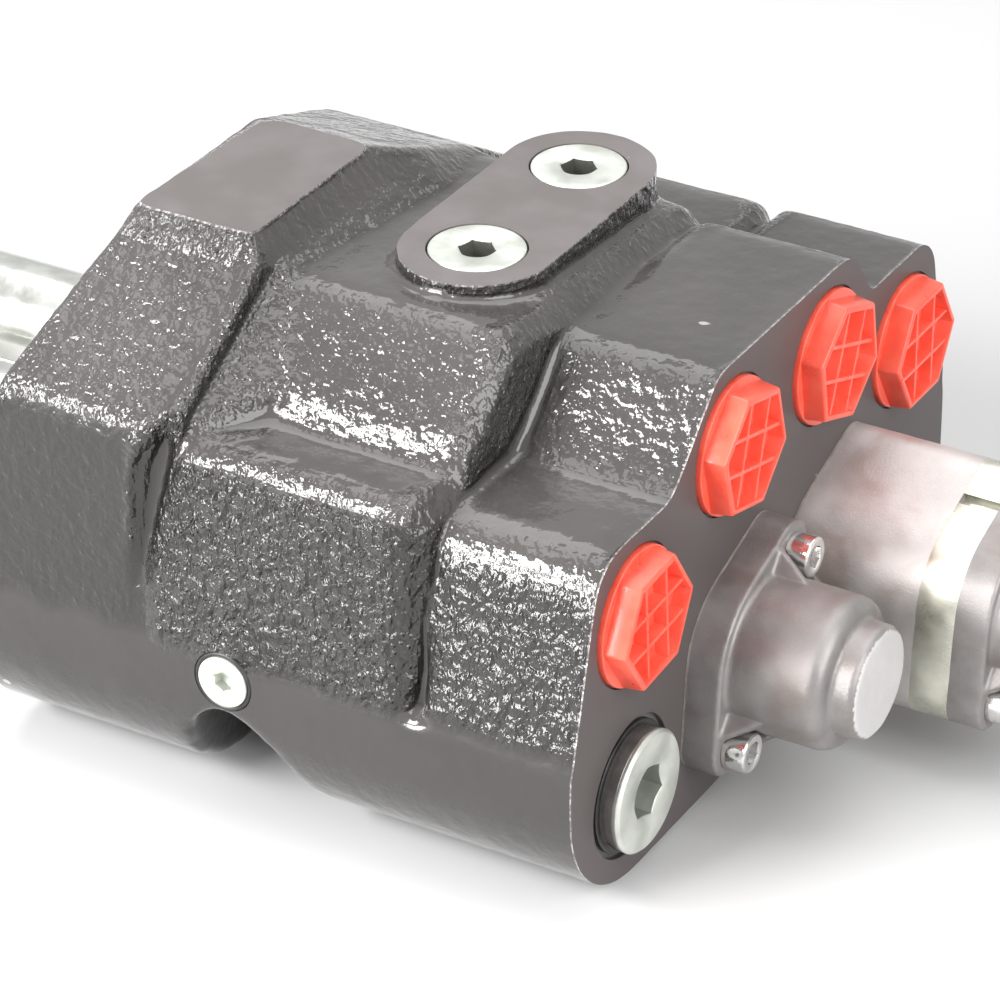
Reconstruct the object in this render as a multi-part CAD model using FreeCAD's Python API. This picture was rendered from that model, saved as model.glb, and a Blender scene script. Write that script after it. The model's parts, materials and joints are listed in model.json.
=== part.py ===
import FreeCAD, Part
import math
import os

# Two-spool monoblock directional control valve.
# Millimetres, +Z up. X runs along the spools towards the work-port face.
# The origin is on the mounting face, midway between the spools and along the body.

V = FreeCAD.Vector
X = V(1, 0, 0)
Y = V(0, 1, 0)
Z = V(0, 0, 1)
os.makedirs("parts", exist_ok=True)

# Body casting
body_length = 162.0
near_half_width = 97.5
far_half_width = 91.7
spool_pitch = 48.0
spool_height = 40.0
foot_relief = 2.0
foot_half_width = 47.0
foot_end_margin = 4.0
base_corner_radius = 30.0
band_height = 45.0
casting_inset = 0.8
casting_round = 6.0

# Lengths of the three raised blocks and the grooves between them
head_length = 56.5
port_block_length = 39.0
groove_width = 4.0
groove_flank = 2.5
groove_depth = 5.0

# Heights of the outline
head_top = 132.0
head_edge = 126.5
head_shoulder = 101.0
head_far_top = 116.0
middle_top = 122.5
middle_lip = 104.5
middle_shoulder = 98.5
middle_lean = 3.0
port_block_top = 114.0
port_block_lip = 98.5
port_block_shoulder = 92.5
far_shoulder = 98.5
far_band_rise = 12.0
base_far_rise = 6.0
base_slope_inset = 12.0
base_slope_rise = 2.0
head_lean_height = 70.0
head_lean_low = 8.7
head_lean_high = 20.0
head_flank_run = 4.4
head_flank_foot = 126.0
flank_toe_run = 5.0
flank_toe_fold_side = 11.0
flank_toe_sink = 6.0
flank_toe_bury = 0.3

# Corners of the three outlines, measured from the near or far spool or from a side
port_shoulder_inset = 12.0
port_step_side = 29.0
port_lip_side = 22.0
port_crest_side = 7.0
port_far_crest_side = 13.0
port_far_step_side = 24.0
far_shoulder_inset = 10.0
middle_shoulder_side = 52.0
middle_lip_side = 47.5
middle_crest_side = 26.5
middle_far_crest_side = 14.0
middle_far_step_side = 26.0
head_edge_side = 33.5
head_crest_side = 29.5
head_top_reach = 22.0
head_far_crest_side = 14.0
head_far_fall = 14.0

# Tapered valley at the near side between head and middle block, wide at its top
valley_top = 104.0
valley_foot = 47.5
valley_depth = 6.5
valley_foot_depth = 1.2
valley_flank = 2.5
cutter_reach = 1.5
valley_left = (51.5, 46.4, 43.6)
valley_bend = 89.0
valley_right = 61.0

# Three-cornered ramp beside the head: its reach along X, and its corners from the near spool
ramp_reach = 14.0
ramp_crest_reach = 3.5
ramp_foot_side = 67.5
ramp_nose_side = 44.5
ramp_crest_side = 26.0
ramp_foot_rise = 1.8
ramp_nose_rise = 2.0
ramp_bury = 0.5
ramp_sink = 22.0
ramp_toe_drop = 8.5
ramp_toe_spread = 5.0

# Relief arch across the underside, steep on its left and long on its right
arch_left = 107.0
arch_crown = 93.0
arch_right = 69.0
arch_height = 31.0
arch_shoulder = 21.0
arch_left_lean = 3.0
arch_left_bulge = 6.5
arch_left_sag = 3.5
arch_fall_reach = 4.0
arch_fall_drop = 3.0
arch_right_bulge = 1.5
arch_right_sag = 4.5
arch_middle_share = 0.6
arch_web_half_width = 44.0

# Spools and their bores
spool_radius = 9.0
spool_clearance = 0.02
spool_neck_radius = 6.5
spool_end_reach = 2.0
stud_radius = 4.0
stud_length = 16.0
gallery_half_height = 12.0
gallery_half_width = 4.0
duct_width = 8.0
tank_depth = 119.0
work_a_depth = 99.0
bridge_depth = 79.0
work_b_depth = 45.0
seal_depth = 4.0
seal_outer_radius = 12.0
washer_thickness = 1.0
washer_radius = 12.7
metering_notch_radius = 1.6
metering_notch_length = 3.0

# Load checks in the top boss
check_depth = 67.0
boss_top = 126.0
boss_radius = 18.7
check_head_radius = 11.6
check_head_height = 6.0
check_head_gap = 0.45
check_bore_radius = 10.0
check_seat_height = 84.0
check_seat_radius = 6.0
check_disc_radius = 8.0
check_disc_thickness = 4.0
check_stem_radius = 5.0
check_stem_length = 20.0
check_tip_radius = 3.5
check_cone_height = 4.5
check_cone_seating = 2.45
check_plug_depth = 12.0
check_socket_flats = 8.0
check_socket_depth = 4.6
check_socket_turn = 15.0
check_guide_roof = 1.5
check_spring_radius = 6.7
check_spring_wire = 0.6

# Work ports: side offset from the nearer spool axis, height, turn of the cap
port_face_offset = 45.5
near_port_height = 71.5
far_port_height = 76.0
far_port_offset = 43.0
upper_port_height = 92.5
port_thread_radius = 9.3
port_thread_depth = 18.0
port_recess_radius = 17.4
port_recess_depth = 1.2

# Moulded port caps
cap_skirt_radius = 16.8
cap_skirt_height = 1.2
cap_hex_flats = 29.0
cap_hex_height = 5.4
cap_hex_wall = 1.3
cap_floor = 1.4
rib_thickness = 0.9
rib_offsets = (4.2, 4.6)
port_stud_length = 13.0

# Inlet and return ports on the far side
inlet_height = 58.0
far_spotface_depth = 1.5

# Relief valve cavity
relief_side_offset = 46.5
relief_drop = 14.2
relief_head_radius = 15.0
relief_head_height = 5.0
relief_spotface_radius = 17.6
relief_spotface_depth = 1.5
relief_thread_radius = 11.0
relief_guide_radius = 8.0
relief_seat_depth = 45.0
relief_seat_length = 8.0
relief_seat_bore = 3.0
relief_thread_length = 18.0
relief_inlet_radius = 3.5
relief_rim_chamfer = 0.8
relief_socket_flats = 12.0
relief_socket_depth = 6.0
relief_socket_turn = 12.0
relief_bore_depth = 9.0
relief_cone_length = 5.0
relief_skirt_length = 7.0
relief_stub_radius = 4.0
relief_stub_length = 5.0
relief_spring_radius = 5.8
relief_spring_wire = 0.8

# Gallery plug on the near side
gallery_plug_depth = 92.5
gallery_plug_radius = 6.6
gallery_plug_head = 3.3
gallery_plug_thread = 5.0
gallery_ring_section = 0.6
gallery_thread_length = 8.0
gallery_socket_flats = 4.5
gallery_socket_depth = 3.2

# Flange pattern shared by the caps, the spacer and the rod covers
flange_thickness = 8.7
flange_core_radius = 20.5
flange_ear_radius = 7.5
screw_offset = 24.0
screw_angle = 51.6
gasket_thickness = 0.5
cavity_radius = 13.0

# Spring caps
cap_radius = 18.8
cap_barrel_length = 33.0
cap_boss_radius = 14.0
cap_length = 39.5
cap_wall = 6.5
cap_barrel_round = 3.5
cap_nose_chamfer = 1.2
lug_width = 3.0
lug_root = 6.0
lug_gap = 1.6
lug_reach = 10.5
lug_rise = 10.0

# Distance pieces of the second spool
spacer_length = 35.0
plate_thickness = 10.0
rod_radius = 5.0
plate_notch_radius = 2.2
plate_notch_side = 3.0
plate_notch_rise = 0.6

# Socket head screws, M6
screw_head_radius = 5.0
screw_head_height = 6.0
screw_shank_radius = 3.0
screw_socket_flats = 5.0
screw_engagement = 12.0
screw_hole_clearance = 0.3
screw_socket_depth = 3.0
collar_screw_head = 4.5
collar_screw_flats = 4.0

# Centring parts
collar_radius = 12.0
collar_thickness = 4.0
collar_gap = 13.5
spring_wire_radius = 0.75
spring_radius = 8.9
inner_spring_radius = 10.9
coil_steps = 8
spring_gap = 0.1
feel_shoulder_offset = 12.0
feel_shoulder_radius = 10.0
feel_shoulder_thickness = 3.0

# Rod covers on the left face
cover_flange_thickness = 10.0
sleeve_radius = 15.0
sleeve_bore_radius = 11.0
sleeve_length = 92.0
link_radius = 6.0
sleeve_pocket = 4.0
sleeve_chamfer = 0.8
bush_length = 14.0
link_reach = 30.0
link_collar_length = 6.0
tongue_length = 15.0
tongue_half_thickness = 3.0
tongue_hole_radius = 4.0

# Mounting holes in the foot
mount_hole_radius = 4.25
mount_hole_depth = 16.0
mount_hole_x = 60.0
mount_hole_y = 38.0

# Places worked out from the dimensions above
right_face = body_length / 2
left_face = -body_length / 2
spool_sides = {"1": -spool_pitch / 2, "2": spool_pitch / 2}
fit_gap = 0.02
port_block_start = right_face - port_block_length
groove_start = port_block_start - groove_width
head_end = left_face + head_length
check_x = right_face - check_depth
tank_x = right_face - tank_depth
work_a_x = right_face - work_a_depth
bridge_x = right_face - bridge_depth
work_b_x = right_face - work_b_depth
relief_seat_x = right_face - relief_seat_depth
gallery_plug_x = right_face - gallery_plug_depth
gallery_places = (tank_x, work_a_x, bridge_x, work_b_x)
relief_y = spool_sides["1"] - relief_side_offset
relief_z = spool_height - relief_drop


def save(name, shape):
    shape.exportStep("parts/" + name + ".step")
    print(name, len(shape.Solids), "solid", round(shape.Volume, 1))


def rod(radius, start, direction, length):
    return Part.makeCylinder(radius, length, start, direction)


def tube(outer, inner, start, direction, length):
    return rod(outer, start, direction, length).cut(rod(inner, start, direction, length))


def corner_arc(before, corner, after, radius):
    """Tangent points and middle point of a round corner."""
    u = (before - corner).normalize()
    v = (after - corner).normalize()
    half = u.getAngle(v) / 2
    along = radius / math.tan(half)
    inward = (u + v).normalize()
    centre = corner + inward * (radius / math.sin(half))
    return corner + u * along, centre - inward * radius, corner + v * along


def outline(x, corners):
    """Closed wire across X from (y, z, corner radius) points."""
    points = [V(x, y, z) for y, z, radius in corners]
    arcs = []
    for i, (y, z, radius) in enumerate(corners):
        after = points[(i + 1) % len(points)]
        arcs.append(corner_arc(points[i - 1], points[i], after, radius))
    edges = []
    for i, (start, middle, end) in enumerate(arcs):
        edges.append(Part.LineSegment(arcs[i - 1][2], start).toShape())
        edges.append(Part.Arc(start, middle, end).toShape())
    return Part.Wire(edges)


def prism(wire, length):
    return Part.Face(wire).extrude(X * length)


def hexagon(centre, normal, across_flats, depth, turn=0.0):
    """Hexagonal prism from centre along normal."""
    radius = across_flats / math.sqrt(3)
    side = Z if abs(normal.z) < 0.5 else X
    other = normal.cross(side)
    points = []
    for i in range(7):
        angle = math.radians(turn + 60 * i)
        points.append(centre + side * (radius * math.cos(angle)) + other * (radius * math.sin(angle)))
    return Part.Face(Part.makePolygon(points)).extrude(normal * depth)


def spring(start, direction, length, mean_radius, wire_radius, turns):
    """Coil spring standing on start, its square wire kept inside the length."""
    rise = length - 2 * wire_radius
    steps = coil_steps * turns
    rings = []
    for i in range(steps + 1):
        angle = 2 * math.pi * i / coil_steps
        out = V(math.cos(angle), math.sin(angle), 0)
        middle = out * mean_radius + Z * (wire_radius + rise * i / steps)
        rings.append([middle + out * a + Z * b for a, b in
                      ((wire_radius, 0), (0, wire_radius), (-wire_radius, 0), (0, -wire_radius))])
    faces = [Part.Face(Part.makePolygon(ring + ring[:1])) for ring in (rings[0], rings[-1])]
    for i in range(steps):
        a, b = rings[i], rings[i + 1]
        for j in range(4):
            k = (j + 1) % 4
            faces.append(Part.Face(Part.makePolygon([a[j], a[k], b[k], a[j]])))
            faces.append(Part.Face(Part.makePolygon([a[j], b[k], b[j], a[j]])))
    coil = Part.makeSolid(Part.makeShell(faces))
    coil.Placement = FreeCAD.Placement(start, FreeCAD.Rotation(Z, direction))
    return coil


def ring(centre, axis, mean_radius, section_radius):
    """Seal ring: a six-sided section turned round the axis."""
    side = Y if abs(axis.y) < 0.5 else X
    points = []
    for i in range(7):
        angle = math.radians(30 + 60 * i)
        points.append(centre + side * (mean_radius + section_radius * math.cos(angle))
                      + axis * (section_radius * math.sin(angle)))
    return Part.Face(Part.makePolygon(points)).revolve(centre, axis, 360)


# Casting outlines

def port_block_corners(inset, drop):
    near = -near_half_width + inset
    far = far_half_width - inset
    near_axis = spool_sides["1"]
    far_axis = spool_sides["2"]
    return [
        (near, foot_relief, base_corner_radius),
        (near, band_height, casting_round),
        (near + port_shoulder_inset, port_block_shoulder - drop, 12.0),
        (near_axis - port_step_side, port_block_shoulder - drop, 8.0),
        (near_axis - port_lip_side, port_block_lip - drop, 5.0),
        (near_axis - port_crest_side, port_block_top - drop, 11.0),
        (far_axis + port_far_crest_side, port_block_top - drop, 12.0),
        (far_axis + port_far_step_side, far_shoulder - drop, 3.5),
        (far - far_shoulder_inset, far_shoulder - drop, 11.0),
        (far, band_height + far_band_rise, casting_round),
        (far, foot_relief, base_corner_radius),
    ]


def middle_corners(inset, drop):
    near = -near_half_width + inset
    far = far_half_width - inset
    near_axis = spool_sides["1"]
    far_axis = spool_sides["2"]
    return [
        (near, foot_relief, base_corner_radius),
        (near, band_height, casting_round),
        (near + middle_lean, middle_shoulder - drop, 8.0),
        (near_axis - middle_shoulder_side, middle_shoulder - drop, 5.0),
        (near_axis - middle_lip_side, middle_lip - drop, 4.0),
        (near_axis - middle_crest_side, middle_top - drop, 9.0),
        (far_axis + middle_far_crest_side, head_far_top - drop, 12.0),
        (far_axis + middle_far_step_side, far_shoulder - drop, 3.5),
        (far - far_shoulder_inset, far_shoulder - drop, 11.0),
        (far, band_height + far_band_rise, casting_round),
        (far, foot_relief, base_corner_radius),
    ]


def head_corners(inset, drop):
    near = -near_half_width + inset
    far = far_half_width - inset
    near_axis = spool_sides["1"]
    return [
        (near, foot_relief, base_corner_radius),
        (near, head_shoulder - drop, 9.0),
        (near_axis - head_edge_side, head_edge - drop, 4.0),
        (near_axis - head_crest_side, head_top - drop, 2.0),
        (near_axis + head_top_reach, head_top - drop, 6.0),
        (spool_sides["2"] + head_far_crest_side, head_far_top - drop, 10.0),
        (far, far_shoulder - head_far_fall - drop, 14.0),
        (far, foot_relief, base_corner_radius),
    ]


def base_corners():
    far_top = band_height + base_far_rise
    return [
        (-near_half_width - casting_inset, foot_relief, base_corner_radius),
        (-near_half_width - casting_inset, band_height, 1.5),
        (-near_half_width + base_slope_inset, band_height + base_slope_rise, 1.5),
        (far_half_width - base_slope_inset, far_top + base_slope_rise, 1.5),
        (far_half_width + casting_inset, far_top, 1.5),
        (far_half_width + casting_inset, foot_relief, base_corner_radius),
    ]


def loft_between(wire_a, wire_b):
    return Part.makeLoft([wire_a, wire_b], True, True)


def casting_blocks():
    """The three raised blocks with their smooth grooves, joined along X."""
    pieces = []
    port_wire = outline(port_block_start, port_block_corners(0, 0))
    pieces.append(prism(port_wire, right_face - port_block_start))
    neck = port_block_corners(groove_depth, groove_depth)
    pieces.append(loft_between(outline(port_block_start - groove_flank / 2, neck),
                               outline(port_block_start, port_block_corners(0, 0))))
    pieces.append(prism(outline(groove_start, neck), groove_width))
    middle_end = groove_start - groove_flank
    deep = middle_corners(groove_depth, groove_depth)
    pieces.append(prism(outline(head_end, middle_corners(0, 0)), middle_end - head_end))
    pieces.append(loft_between(outline(middle_end, middle_corners(0, 0)),
                               outline(groove_start + groove_width / 2, deep)))
    pieces.append(head_block())
    pieces.append(prism(outline(left_face, base_corners()), body_length))
    body = pieces[0].fuse(pieces[1:])
    return body.removeSplitter()


def head_block():
    """The head, with a sloping flank towards the middle block."""
    head = prism(outline(left_face, head_corners(0, 0)), head_length)
    start = head_end - head_flank_run
    side = -near_half_width - 5
    points = [V(start, side, head_top), V(head_end, side, head_flank_foot),
              V(head_end + 1, side, head_flank_foot), V(head_end + 1, side, head_top + 1),
              V(start, side, head_top + 1)]
    wedge = Part.Face(Part.makePolygon(points + points[:1]))
    return head.cut(wedge.extrude(Y * (near_half_width + far_half_width + 10)))


def flank_toe():
    """Web that eases the head's flank into the top of the middle block."""
    near_axis = spool_sides["1"]
    far_axis = spool_sides["2"]
    start = near_axis - middle_crest_side
    end = far_axis + middle_far_crest_side
    fold = far_axis - flank_toe_fold_side
    share = (fold - start) / (end - start)
    fold_top = middle_top + (head_far_top - middle_top) * share
    sections = []
    for y, top, toe, run in ((start - 1, head_flank_foot, middle_top, flank_toe_run),
                             (fold, head_flank_foot - 0.5, fold_top, 2 * flank_toe_run),
                             (end - 1, head_far_top + 0.6, head_far_top, flank_toe_run)):
        points = [V(head_end, y, top), V(head_end + run, y, toe - flank_toe_bury),
                  V(head_end, y, toe - flank_toe_sink)]
        sections.append(Part.makePolygon(points + points[:1]))
    return Part.makeLoft(sections, True, True)


def near_step():
    """Cutter that sets the near side back to the middle block's leaning side, right of the valley."""
    wires = []
    for outer in (True, False):
        points = []
        for reach, z in ((valley_left[0], valley_top), (valley_left[1], valley_bend),
                         (valley_left[2], valley_foot), (head_length + 0.5, valley_foot),
                         (head_length + 0.5, valley_top)):
            lean = middle_lean * (z - band_height) / (middle_shoulder - band_height)
            y = -near_half_width + (-cutter_reach if outer else lean)
            points.append(V(left_face + reach, y, z))
        wires.append(Part.makePolygon(points + points[:1]))
    return Part.makeLoft(wires, True, True)


def near_valley():
    """Cutter for the tapered valley on the near side."""
    wires = []
    for inset, squeeze in ((-cutter_reach, 0.0), (valley_depth, valley_flank)):
        points = []
        for reach, z in ((valley_left[0] + squeeze, valley_top), (valley_left[1] + squeeze, valley_bend),
                         (valley_left[2] + squeeze / 3, valley_foot),
                         (valley_right - squeeze, valley_top)):
            share = (z - valley_foot) / (valley_top - valley_foot)
            depth = inset if inset < 0 else valley_foot_depth + (inset - valley_foot_depth) * share
            points.append(V(left_face + reach, -near_half_width + depth, z))
        wires.append(Part.makePolygon(points + points[:1]))
    return Part.makeLoft(wires, True, True)


def head_end_cut():
    """Wedge that leans the head's outer end inwards, in two planes."""
    side = -near_half_width - 5
    points = [V(left_face - 1, side, head_lean_height), V(left_face - 1, side, head_top + 1),
              V(left_face + head_lean_high, side, head_top + 1),
              V(left_face + head_lean_low, side, head_shoulder + 2),
              V(left_face, side, head_lean_height)]
    face = Part.Face(Part.makePolygon(points + points[:1]))
    return face.extrude(Y * (near_half_width + far_half_width + 10))


def casting_ramp():
    """Rough three-cornered web from the middle block's shoulder up to the head."""
    near_axis = spool_sides["1"]
    foot = V(head_end - ramp_bury, near_axis - ramp_foot_side, middle_shoulder + ramp_foot_rise)
    nose = V(head_end + ramp_reach, near_axis - ramp_nose_side, middle_lip + ramp_nose_rise)
    crest = V(head_end + ramp_crest_reach, near_axis - ramp_crest_side, middle_top)
    crown = V(head_end - ramp_bury, near_axis - ramp_crest_side, middle_top + ramp_foot_rise)
    top = [foot, nose, crest, crown]
    base = [p - Z * ramp_sink for p in top]
    faces = []
    for ring in (top, base):
        for i in (1, 2):
            faces.append(Part.Face(Part.makePolygon([ring[0], ring[i], ring[i + 1], ring[0]])))
    for i in range(4):
        j = (i + 1) % 4
        faces.append(Part.Face(Part.makePolygon([top[i], top[j], base[j], base[i], top[i]])))
    web = Part.makeSolid(Part.makeShell(faces))
    outward = (nose - foot).cross(Z).normalize() * ramp_toe_spread
    fall = Z * ramp_toe_drop
    section = [foot, foot + outward - fall, foot - outward / 2 - fall]
    toe = Part.Face(Part.makePolygon(section + section[:1])).extrude(nose - foot)
    return web.fuse(toe)


def obround(z_low, z_high, radius):
    """Boss plan: two ends round the load checks, joined by flat sides."""
    ends = [rod(radius, V(check_x, y, z_low), Z, z_high - z_low) for y in spool_sides.values()]
    bar = Part.makeBox(2 * radius, spool_pitch, z_high - z_low,
                       V(check_x - radius, -spool_pitch / 2, z_low))
    return ends[0].fuse([ends[1], bar]).removeSplitter()


def arch_profile(side, share):
    """Arch outline at y=side: a round crown over a steep left and a long right side."""
    left = right_face - arch_left
    crown = right_face - arch_crown
    right = right_face - arch_right
    height = arch_height * share
    shoulder = arch_shoulder * share
    foot_left = V(left, side, -1)
    foot_right = V(right, side, -1)
    rise = V(left + arch_left_lean, side, shoulder)
    top = V(crown, side, height)
    fall = V((crown + right) / 2 + arch_fall_reach, side, shoulder - arch_fall_drop * share)
    bulge = V(left + arch_left_bulge, side, height - arch_left_sag * share)
    slope = V((crown + fall.x) / 2 + arch_right_bulge, side, height - arch_right_sag * share)
    edges = [Part.LineSegment(foot_left, rise).toShape(),
             Part.Arc(rise, bulge, top).toShape(),
             Part.Arc(top, slope, fall).toShape(),
             Part.LineSegment(fall, foot_right).toShape(),
             Part.LineSegment(foot_right, foot_left).toShape()]
    return Part.Face(Part.Wire(edges))


def relief_arch():
    """Channel through the foot, high at both sides and low where it passes under the spools."""
    near = -near_half_width - 5
    far = far_half_width + 5
    cuts = [arch_profile(near, arch_middle_share).extrude(Y * (far - near))]
    cuts.append(arch_profile(near, 1.0).extrude(Y * (-arch_web_half_width - near)))
    cuts.append(arch_profile(arch_web_half_width, 1.0).extrude(Y * (far - arch_web_half_width)))
    return cuts


def screw_places(y):
    """Screw centres of the two-bolt flange round a spool axis."""
    angle = math.radians(screw_angle)
    dy = screw_offset * math.cos(angle)
    dz = screw_offset * math.sin(angle)
    return [(y + dy, spool_height + dz), (y - dy, spool_height - dz)]


def work_ports():
    """Port centres on the right face, as name: (y, z, cap turn)."""
    near, far = spool_sides["1"], spool_sides["2"]
    return {
        "a1": (near - port_face_offset, near_port_height, 4.0),
        "b1": (near, upper_port_height, -14.6),
        "b2": (far, upper_port_height, -20.5),
        "a2": (far + far_port_offset, far_port_height, 0.0),
    }


def spool_cavities():
    cuts = []
    for y in spool_sides.values():
        start = V(left_face - 1, y, spool_height)
        cuts.append(rod(spool_radius + spool_clearance, start, X, body_length + 2))
        for x in gallery_places:
            size = 2 * gallery_half_height
            cuts.append(Part.makeBox(2 * gallery_half_width, size, size,
                                     V(x - gallery_half_width, y - gallery_half_height,
                                       spool_height - gallery_half_height)))
        cuts.append(rod(seal_outer_radius, V(left_face - 1, y, spool_height), X, seal_depth + 1))
        cuts.append(rod(seal_outer_radius, V(right_face + 1, y, spool_height), -X, seal_depth + 1))
    return cuts


def duct(start, end):
    """Square cored passage between two points of one X, or along X."""
    run = end - start
    half = duct_width / 2
    across = Y if abs(run.x) > 1 else X
    other = run.cross(across).normalize()
    corners = [start + across * (a * half) + other * (b * half)
               for a, b in ((-1, -1), (1, -1), (1, 1), (-1, 1), (-1, -1))]
    return Part.Face(Part.makePolygon(corners)).extrude(run)


def port_cavities():
    """Threads and cap recesses of the work ports, with their ducts to the spools."""
    cuts = []
    near, far = spool_sides["1"], spool_sides["2"]
    for name, (y, z, turn) in work_ports().items():
        axis = near if name.endswith("1") else far
        target = work_a_x if name.startswith("a") else work_b_x
        cuts.append(rod(port_thread_radius, V(right_face + 1, y, z), -X, port_thread_depth + 1))
        cuts.append(rod(port_recess_radius, V(right_face + 1, y, z), -X, port_recess_depth + 1))
        thread_end = V(right_face - port_thread_depth + 1, y, z)
        bend = V(target - duct_width / 2, y, z)
        cuts.append(duct(thread_end, bend))
        drop = V(target, axis, spool_height) - V(target, y, z)
        reach = drop.Length - spool_radius - 1
        cuts.append(duct(V(target, y, z), V(target, y, z) + drop.normalize() * reach))
    return cuts


def supply_cavities():
    """Inlet and return ducts with their ports on the far side."""
    far = far_half_width
    half = duct_width / 2
    cuts = [duct(V(check_x, relief_y - half, inlet_height), V(check_x, far, inlet_height))]
    cuts.append(duct(V(check_x, relief_y, relief_z), V(check_x, relief_y, inlet_height)))
    cuts.append(duct(V(tank_x, spool_sides["1"], spool_height), V(tank_x, far, spool_height)))
    for x, z in ((check_x, inlet_height), (tank_x, spool_height)):
        mouth = V(x, far_half_width + casting_inset - far_spotface_depth, z)
        cuts.append(rod(port_recess_radius, mouth, Y, 10))
        cuts.append(rod(port_thread_radius, mouth, -Y, port_thread_depth))
    return cuts


def check_cavities():
    cuts = []
    for y in spool_sides.values():
        floor = boss_top - check_head_height
        cuts.append(rod(check_head_radius + check_head_gap, V(check_x, y, floor), Z, 10))
        cuts.append(rod(check_bore_radius, V(check_x, y, check_seat_height), Z,
                        floor - check_seat_height))
        cuts.append(rod(check_seat_radius, V(check_x, y, inlet_height), Z,
                        check_seat_height - inlet_height))
        bridge_foot = V(bridge_x, y, spool_height + spool_radius + 1)
        cuts.append(duct(bridge_foot, V(bridge_x, y, check_seat_height + duct_width / 2)))
    return cuts


def relief_cavities():
    face = V(right_face, relief_y, relief_z)
    cuts = [rod(relief_spotface_radius, face + X, -X, relief_spotface_depth + 1)]
    cuts.append(rod(relief_thread_radius + fit_gap, face, -X, 25))
    cuts.append(rod(relief_guide_radius, face, -X, relief_seat_depth + relief_seat_length))
    cuts.append(rod(relief_inlet_radius, face, -X, right_face - check_x))
    return cuts


def gallery_plug_cavity():
    mouth = V(gallery_plug_x, -near_half_width - casting_inset - 5, spool_height)
    ring = gallery_plug_radius + 2 * gallery_ring_section + 0.1
    port_y = spool_sides["1"] - port_face_offset
    foot = V(gallery_plug_x, port_y, spool_height)
    return [rod(ring, mouth, Y, 5 + gallery_plug_head - 0.3),
            rod(gallery_plug_thread + fit_gap, mouth, Y, port_y - mouth.y),
            duct(foot - Z * (duct_width / 2), foot + Z * (near_port_height - spool_height))]


def foot_holes():
    holes = []
    for x in (-mount_hole_x, mount_hole_x):
        for y in (-mount_hole_y, mount_hole_y):
            holes.append(rod(mount_hole_radius, V(x, y, -1), Z, mount_hole_depth + 1))
    return holes


def flange_screw_holes():
    holes = []
    for y in spool_sides.values():
        for sy, sz in screw_places(y):
            holes.append(rod(screw_shank_radius, V(right_face + 1, sy, sz), -X, screw_engagement + 4))
            holes.append(rod(screw_shank_radius, V(left_face - 1, sy, sz), X, screw_engagement + 4))
    return holes


def valve_body():
    body = casting_blocks()
    foot = Part.makeBox(body_length - 2 * foot_end_margin, 2 * foot_half_width, 8,
                        V(left_face + foot_end_margin, -foot_half_width, 0))
    boss = obround(band_height, boss_top, boss_radius)
    body = body.fuse([casting_ramp(), flank_toe(), foot, boss])
    cuts = [head_end_cut(), near_step(), near_valley()] + relief_arch()
    cuts += spool_cavities() + port_cavities() + supply_cavities() + check_cavities()
    cuts += relief_cavities() + gallery_plug_cavity() + foot_holes() + flange_screw_holes()
    return body.cut(cuts).removeSplitter()


# Flanged parts

def flange_plan(x, y, thickness, direction=X):
    """Two-bolt flange: a round core joined to its screw ears by tangent sides."""
    angle = math.radians(screw_angle)
    lean = math.acos((flange_core_radius - flange_ear_radius) / screw_offset)
    centre = V(x, y, spool_height)

    def point(radius, turn, around):
        return around + V(0, radius * math.cos(turn), radius * math.sin(turn))

    edges = []
    ears = [point(screw_offset, angle, centre), point(screw_offset, angle + math.pi, centre)]
    marks = []
    for side in (0, 1):
        base = angle + side * math.pi
        ear = ears[side]
        marks.append((point(flange_core_radius, base - lean, centre),
                      point(flange_ear_radius, base - lean, ear),
                      point(flange_ear_radius, base, ear),
                      point(flange_ear_radius, base + lean, ear),
                      point(flange_core_radius, base + lean, centre)))
    for side in (0, 1):
        core_in, ear_in, ear_mid, ear_out, core_out = marks[side]
        next_in = marks[1 - side][0]
        edges.append(Part.LineSegment(core_in, ear_in).toShape())
        edges.append(Part.Arc(ear_in, ear_mid, ear_out).toShape())
        edges.append(Part.LineSegment(ear_out, core_out).toShape())
        middle = point(flange_core_radius, angle + side * math.pi + math.pi / 2, centre)
        edges.append(Part.Arc(core_out, middle, next_in).toShape())
    return Part.Face(Part.Wire(edges)).extrude(direction * thickness)


def screw_clearances(x, y, length):
    radius = screw_shank_radius + screw_hole_clearance
    return [rod(radius, V(x, sy, sz), X, length) for sy, sz in screw_places(y)]


def gasket(x, y, hole=cavity_radius):
    plate = flange_plan(x, y, gasket_thickness)
    cuts = [rod(hole + 0.5, V(x - 1, y, spool_height), X, 3)]
    return plate.cut(cuts + screw_clearances(x - 1, y, 3))


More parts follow.
